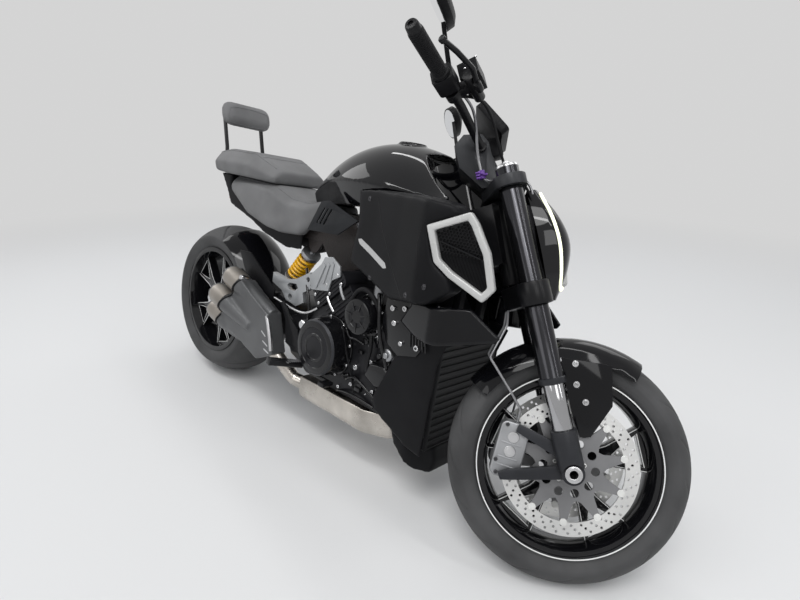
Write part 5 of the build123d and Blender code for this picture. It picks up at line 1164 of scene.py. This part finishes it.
headCover = [(1062, 604), (1084, 636), (1164, 640), (1206, 596), (1226, 524), (1196, 474), (1130, 456),
             (1080, 482), (1056, 540)]
headPlates = [plateMesh([headCover], -163, -147)]
for k in range(6):  # upright louvres on the ribbed cover
    x, top, low = 1150 + 11 * k, 618 - 6 * k, 496
    headPlates.append(slabMesh([(x, top), (x + 4, top), (x + 26, low), (x + 22, low)], -167, -162))
meshPiece("headCovers", bothSides(headPlates), bike, "engineGloss", edge=1.6)
boltRise, coverFace = 8, -160
boltTable = [  # x, z, y and radius; the bolts past the cover's face stay where they are
    (1092, 585, -162, 8), (1136, 595, -162, 8), (1105, 545, -162, 8), (1139, 560, -162, 7),
    (1139, 495, -162, 7), (1196, 500, -162, 8), (955, 601, -132, 6), (1017, 471, -132, 7),
    (1009, 389, -130, 7), (1075, 612, -148, 7), (1046, 566, -132, 6), (937, 290, -130, 7),
    (946, 350, -130, 9), (1060, 350, -128, 6), (1030, 300, -130, 6), (880, 260, -130, 6),
    (1085, 410, -128, 6),
]
caseTree = nodesTree(bikeFrame, "engine_block", "engine_covers", "head_plate")
rightBolts, leftBolts = [], []
for x, z, right, radius in boltTable:
    left = -right
    if right > coverFace:
        right, left = max(right, sideHit(caseTree, x, z, -1) + 1), sideHit(caseTree, x, z, 1) - 1
    rightBolts.append(boltMesh((x, z), right, -boltRise, radius))
    leftBolts.append(boltMesh((x, z), left, boltRise, radius))
hub = discMesh(16, -130, -166, 36, (698, 419), 2.5)
engineBolts = rightBolts + leftBolts + coverBolts + headBolts + [hub]
meshPiece("engineBolts", engineBolts, bike, "boltBright", smoothAngle=30)
pumpParts = [discMesh(19, -128, -158, 30, (1085, 440), 3), discMesh(26, -128, -150, 36, (1126, 424), 4),
             discMesh(9, -158, -164, 18, (1085, 440), 1.5)]
meshPiece("waterPump", pumpParts, bike, "castAlloy")
coolerShape = [(1004, 350), (1020, 392), (1080, 402), (1124, 374), (1112, 338), (1050, 330)]
meshPiece("oilCooler", plateMesh([coolerShape], -156, -128), bike, "engineGloss", edge=7, segments=4)
pipeTable = [  # name, radius, finish, points as x, z, y in the motorcycle's frame
    ("hoseOverCover", 8, "gripRubber",
     [(902, 470, -148), (908, 545, -160), (950, 612, -164), (1008, 604, -162), (1034, 560, -156)]),
    ("pipeDown", 6.5, "satinBlack",
     [(1006, 474, -146), (1018, 440, -152), (1008, 392, -152), (1010, 356, -146)]),
    ("cableDown", 3.2, "gripRubber",
     [(884, 470, -150), (904, 420, -156), (950, 330, -152), (960, 268, -140)]),
    ("headStay", 16, "castAlloy", [(1016, 640, -146), (1008, 574, -146)]),
    ("steelPipe", 6.5, "boltBright",
     [(1128, 352, -140), (1150, 362, -144), (1184, 378, -146), (1212, 372, -144)]),
    ("linkRod", 4.2, "boltBright",
     [(497, 460, -140), (560, 454, -142), (645, 446, -142), (700, 458, -142), (741, 488, -140)]),
    ("coilLead", 5, "boltBright", [(795, 541, -150), (812, 522, -154), (833, 501, -150)]),
    ("plugLead", 5, "castAlloy", [(852, 590, -152), (862, 572, -156), (874, 552, -150)]),
    ("gearLink", 4.2, "boltBright", [(598, 408, 150), (660, 372, 156), (790, 300, 158)]),
    ("coolantHose", 15, "gripRubber",
     [(1040, 520, 146), (1110, 470, 158), (1180, 440, 150), (1226, 470, 120)]),
    ("coolantReturn", 13, "gripRubber",
     [(1080, 440, 134), (1130, 360, 140), (1200, 300, 132), (1230, 290, 110)]),
]
for name, radius, finish, points in pipeTable:
    tubePiece(name, [(x, y, z) for x, z, y in points], radius, bike, finish, around=4)

# Ribs on the flat face of the small cover, a bright rim, and ridges on the pale head plate
ridges, coverRibs = [], []
for k in range(3):
    ridges.append(slabMesh([(728 + 34 * k, 562 + 22 * k), (742 + 34 * k, 556 + 22 * k),
                            (776 + 20 * k, 640 + 6 * k), (766 + 20 * k, 646 + 6 * k)], -154, -159))
for k in range(7):
    rib = polar([(20, -2), (47, -2), (47, 2), (20, 2)], radians(18 + 51.4 * k))
    coverRibs.append(moved(slabMesh(rib, -186, -191), smallCover["centre"][0], 0, smallCover["centre"][1]))
meshPiece("headPlateRidges", ridges, bike, "palePlate", edge=1.5)
meshPiece("coverRibs", coverRibs, bike, "engineGloss", edge=0.8)
rim = latheMesh([(-198.6, 90.8), (-199.6, 91.2), (-205.6, 86), (-205.8, 84.6), (-204.6, 84.8)], 90)
meshPiece("clutchRim", moved(rim, clutchCover["centre"][0], 0, clutchCover["centre"][1]), bike, "anthracite")

# Small generic fittings scattered over the crankcase, clear of the round covers
clutterSet = {"count": 46, "seed": 7, "x": (890, 1120), "z": (262, 470), "height": (4, 16), "size": (4, 13),
              "bare": 90}
dice = random.Random(clutterSet["seed"])


def isOver(cover, x, z):
    return hypot(x - cover["centre"][0], z - cover["centre"][1]) < cover["clear"]


fittings, fittingScrews = [], []
for k in range(clutterSet["count"]):
    x, z, size, rise = (dice.uniform(*clutterSet[key]) for key in ("x", "z", "size", "height"))
    if isOver(clutchCover, x, z) or isOver(smallCover, x, z):
        continue
    for side in (-1, 1):
        base = sideHit(caseTree, x, z, side) - side
        if abs(base) < clutterSet["bare"] or (side > 0 and isOver(leftCover, x, z)):
            continue
        if k % 3 == 0:
            fittingScrews.append(boltMesh((x, z), base, side * rise * 0.6, size * 0.45))
        elif k % 3 == 1:
            fittings.append(discMesh(size, base, base + side * rise, 18, (x, z), 2))
        else:
            corners = [(p * size, q * size / 2) for p, q in ((-1, -1), (1, -1), (1, 1), (-1, 1))]
            block = polar(corners, dice.uniform(-0.6, 0.6))
            fittings.append(slabMesh([(x + p, z + q) for p, q in block], base, base + side * rise))
meshPiece("caseFittings", fittings, bike, "engineGloss", edge=1.2)
meshPiece("caseScrews", fittingScrews, bike, "boltBright", smoothAngle=30)
wireTable = [  # radius, points as x, z, y on the right; the same again on the left
    (4, [(900, 462, -146), (925, 440, -158), (955, 452, -158), (985, 440, -150)]),
    (4, [(918, 300, -140), (950, 330, -152), (1000, 322, -156), (1050, 290, -146)]),
    (6, [(1010, 620, -148), (1040, 590, -166), (1052, 520, -170), (1066, 470, -166), (1090, 400, -152)]),
    (5, [(640, 560, -120), (680, 520, -136), (700, 470, -140), (690, 430, -136)]),
    (5, [(600, 590, -90), (640, 560, -118), (690, 548, -128), (740, 512, -134)]),
    (4.5, [(870, 240, -128), (920, 262, -140), (990, 262, -142), (1040, 250, -130)]),
]
for k, (radius, points) in enumerate(wireTable):
    for mark, side in (("", 1), ("Left", -1)):
        line = [(x, side * y, z) for x, z, y in points]
        tubePiece("engineHose" + mark + str(k), line, radius, bike, "engineGloss", around=3)
print("engine ready")

# Rear end: a cast rocker, a coiled spring and the links of the chain
rocker = [(459, 548), (548, 540), (603, 556), (668, 592), (688, 560), (676, 534), (640, 514), (650, 481),
          (609, 458), (549, 466), (519, 494), (459, 512)]
rockerHoles = [[(548, 520), (562, 532), (600, 536), (612, 524), (596, 510), (562, 508)],
               ringPoints(12, 16, (571, 482)), ringPoints(9, 16, (662, 566))]
meshPiece("rocker", plateMesh([rocker, *rockerHoles], -130, -114), bike, "palePlate", edge=2.5, segments=3)
springSet = {"low": (446, -48, 492), "high": (590, -48, 668), "start": 53, "length": 122, "radius": 30,
             "wire": 5.6, "turns": 6.2, "steps": 16, "ease": 0.028}


def springPoints(s):
    low, side = Vector(s["low"]), Vector((0, 1, 0))
    way = (Vector(s["high"]) - low).normalized()
    up = way.cross(side)
    made = []
    count = int(s["turns"] * s["steps"])
    for k in range(count + 1):
        share, a = k / count, 2 * pi * s["turns"] * k / count
        eased = share + s["ease"] * sin(2 * pi * share)
        along = s["start"] + s["wire"] + (s["length"] - 2 * s["wire"]) * eased
        made.append(tuple(low + way * along + (side * cos(a) + up * sin(a)) * s["radius"]))
    return made


tubePiece("shockCoil", springPoints(springSet), springSet["wire"], bike, "springYellow", ("shock_spring",), 4)
chainSet = {"pitch": 15.875, "rearTeeth": 43, "frontTeeth": 15, "rear": (0, rearRadius), "front": (690, 398),
            "middle": 195, "plate": 1.8, "roller": 4.6, "pin": 2.6, "end": 6.4, "waist": 4.7,
            "plates": (6.2, 4.2), "pinEnds": (7.8, 8.8)}


def chainPath(s):  # joints of the chain round both sprockets
    big, small = (s["pitch"] / (2 * sin(pi / s[teeth])) for teeth in ("rearTeeth", "frontTeeth"))
    dx, dz = s["front"][0] - s["rear"][0], s["front"][1] - s["rear"][1]
    span, tilt = hypot(dx, dz), math.atan2(dz, dx)
    swing = math.acos((big - small) / span)
    straight = math.sqrt(span ** 2 - (big - small) ** 2)
    runs = [  # length, centre, radius, angle where the run starts, and whether it turns
        (straight, s["rear"], big, tilt + swing, False),
        (2 * swing * small, s["front"], small, tilt + swing, True),
        (straight, s["front"], small, tilt - swing, False),
        (2 * (pi - swing) * big, s["rear"], big, tilt - swing, True),
    ]
    total = sum(run[0] for run in runs)
    count = round(total / s["pitch"] / 2) * 2
    made = []
    for k in range(count):
        d = total * k / count
        for length, (x, z), radius, a, turns in runs:
            if d < length:
                break
            d -= length
        if turns:
            a -= d / radius
            d = 0
        made.append((x + radius * cos(a) + d * sin(a), z + radius * sin(a) - d * cos(a)))
    return made


def linkPlate(s, a, b, low, high):  # one waisted side plate between two joints
    shape = [(s["pitch"] / 2 + s["end"] * cos(u), s["end"] * sin(u)) for u in (-1.7, -0.8, 0, 0.8, 1.7)]
    shape.append((0, s["waist"]))
    shape += [(-p, -q) for p, q in shape]
    turned = polar(shape, math.atan2(b[1] - a[1], b[0] - a[0]))
    x, z = (a[0] + b[0]) / 2, (a[1] + b[1]) / 2
    return slabMesh([(x + p, z + q) for p, q in turned], low, high)


def chainMeshes(s):
    joints, made, middle = chainPath(s), [], s["middle"]
    for k, a in enumerate(joints):
        b = joints[(k + 1) % len(joints)]
        inner = s["plates"][k % 2]
        for side in (-1, 1):
            made.append(linkPlate(s, a, b, middle + side * inner, middle + side * (inner + s["plate"])))
        made.append(discMesh(s["roller"], middle - s["plates"][1], middle + s["plates"][1], 10, a))
        made.append(discMesh(s["pin"], *(middle + end for end in s["pinEnds"]), 8, a))
    return made


meshPiece("chainLinks", chainMeshes(chainSet), bike, "chainSteel", ("drive_chain",), smoothAngle=30)

# Footrests: rubber ribs across each peg
pegSet = {"x": 744, "start": 378, "out": 296, "length": 108, "ribs": 13, "half": 11, "ribHalf": 1.6,
          "sink": 1, "rise": 2.2}
pegTree = nodesTree(bikeFrame, "footrests")
pegRibs = []
for side in (-1, 1):
    for k in range(pegSet["ribs"]):
        x, y = pegSet["x"], side * (pegSet["out"] - pegSet["length"] * k / pegSet["ribs"])
        top, half, thin = dropHit(pegTree, x, y, pegSet["start"]), pegSet["half"], pegSet["ribHalf"]
        if top:
            low, high = top - pegSet["sink"], top + pegSet["rise"]
            pegRibs.append(boxMesh((x - half, y - thin, low), (x + half, y + thin, high)))
meshPiece("pegRibs", pegRibs, bike, "carrierGrey", edge=0.5)

# Fuel cap: a flat ring with screws round a flap
capSet = {"x": 930, "start": 1300, "circle": 35.5, "screws": 6}
capTop = dropHit(nodesTree(bikeFrame, "fuel_tank"), capSet["x"], 0, capSet["start"])
capParts = [latheMesh([(capTop - 1, 30), (capTop + 0.5, 31), (capTop + 0.5, 40), (capTop - 1, 41)], 60, "z"),
            latheMesh([(capTop - 1, 27), (capTop + 0.4, 26), (capTop + 0.4, 0.1)], 48, "z")]
capParts += [moved(screwMesh(capTop, 3.2, 0, 0.9), *point)
             for point in ringPoints(capSet["circle"], capSet["screws"])]
meshPiece("fuelCapTrim", [moved(mesh, capSet["x"]) for mesh in capParts], bike, "satinBlack")
print("rear end ready")

# Silencer: smooth lobes, pale rounded ends past a dark strap, slots and bolts
silencerSet = {"angle": 165, "down": 236.5, "pitch": 94, "first": (344, -177, 468), "out": (0, 24, 0),
               "strap": 43.2, "tip": [(2, 41.5), (70, 41.5), (86, 39.5), (95, 35), (98.6, 28), (98.6, 24),
                                      (84, 23), (60, 23), (60, 0.1)]}
lobeBack, lobeDown = (Vector((cos(radians(silencerSet[key])), 0, sin(radians(silencerSet[key]))))
                      for key in ("angle", "down"))
outward = Vector((0, -1, 0))
mouths = [Vector(silencerSet["first"]) + outward * out + lobeDown * silencerSet["pitch"] * k
          for k, out in enumerate(silencerSet["out"])]
silencer = mouldNode("silencer", "exhaustGrey", 3.5, 14, keepShare=0.5, shrink=0.3)
tips = []
for mouth in mouths:
    tips.append(latheMesh(silencerSet["tip"], 48))
    tips[-1].transform(wayFrame(Matrix.Identity(4), mouth, lobeBack))
meshPiece("silencerTips", tips, bike, "exhaustBeige", smoothAngle=40)
strapAt, strapEnd, strapRadius = lobeBack * 3, lobeDown * 44, 4.2
strapLine = [mouths[0] + strapAt - strapEnd]
for mouth in mouths:
    for turn in (radians(a) for a in (-62, -20, 20, 62)):
        around = outward * cos(turn) + lobeDown * sin(turn)
        strapLine.append(mouth + strapAt + around * silencerSet["strap"])
strapLine.append(mouths[-1] + strapAt + strapEnd)
tubePiece("silencerStrap", strapLine, strapRadius, bike, "satinBlack", around=3)
strapBolt = latheMesh([(0, 0.1), (0, 10), (26, 10), (29, 8), (29, 0.1)], 24)
strapBolt.transform(wayFrame(Matrix.Identity(4), mouths[0] - lobeDown * 40 + lobeBack * 2, (0, -1, 0.25)))
meshPiece("strapBolt", strapBolt, bike, "boltBright")
silencerTree = treeOf([silencer.data], bikeFrame)
slotTable = [((533, 353), (561, 339)), ((545, 320), (578, 308)), ((556, 293), (588, 285))]
slots = [laidStrip(silencerTree, ends, width=5, rise=0.5) for ends in slotTable]
meshPiece("silencerSlots", slots, bike, "bareAlloy")
edgeLine = [(550, -203, 412), (580, -203, 350), (594, -203, 296)]
tubePiece("silencerEdge", edgeLine, 7, bike, "bareAlloy", around=4)
print("silencer ready")

# The other nodes: finish, then each node's edge width in millimetres
softTable = [
    ("bareAlloy", {"rear_axle": 1, "front_axle": 1, "rear_caliper": 2}),
    ("chainSteel", {"rear_sprocket": 0.4, "front_sprocket": 0.4}),
    ("satinBlack", {"side_stand": 2, "lower_yoke": 2.5, "hand_levers": 1, "main_frame": 3,
                    "backrest_stays": 1, "swingarm": 4, "footrests": 1.5, "stand_bracket": 1.5,
                    "handlebar": 0.5}),
    ("mattePlastic", {"switch_pods": 3, "fluid_cups": 4, "mirrors": 2, "display": 3, "arm_guards": 0.8,
                      "radiator": 1}),
    ("glossBlack", {"front_mudguard": 1, "rear_hugger": 1}), ("anthracite", {"fork_feet": 2}),
    ("yokeGrey", {"upper_yoke": 2.5}), ("engineBlack", {"engine_block": 3, "engine_covers": 2.5}),
    ("palePlate", {"head_plate": 1.5}), ("weaveBlack", {"rear_subframe": 4}), ("lampRed", {"tail_lamp": 1}),
    ("charcoalPlastic", {"side_covers": 1.2}),
    ("exhaustSteel", {"exhaust_collector": 3, "exhaust_pipes": 0.5}), ("castAlloy", {"shock_absorber": 1}),
    ("hoseGrey", {"brake_hoses": 0.3}), ("forkBlack", {"fork_tubes": 1}),
    ("darkChrome", {"fork_sliders": 0.5}),
]
for finish, widths in softTable:
    for node, width in widths.items():
        softenNode(node, finish, width)
print("plain pieces ready")
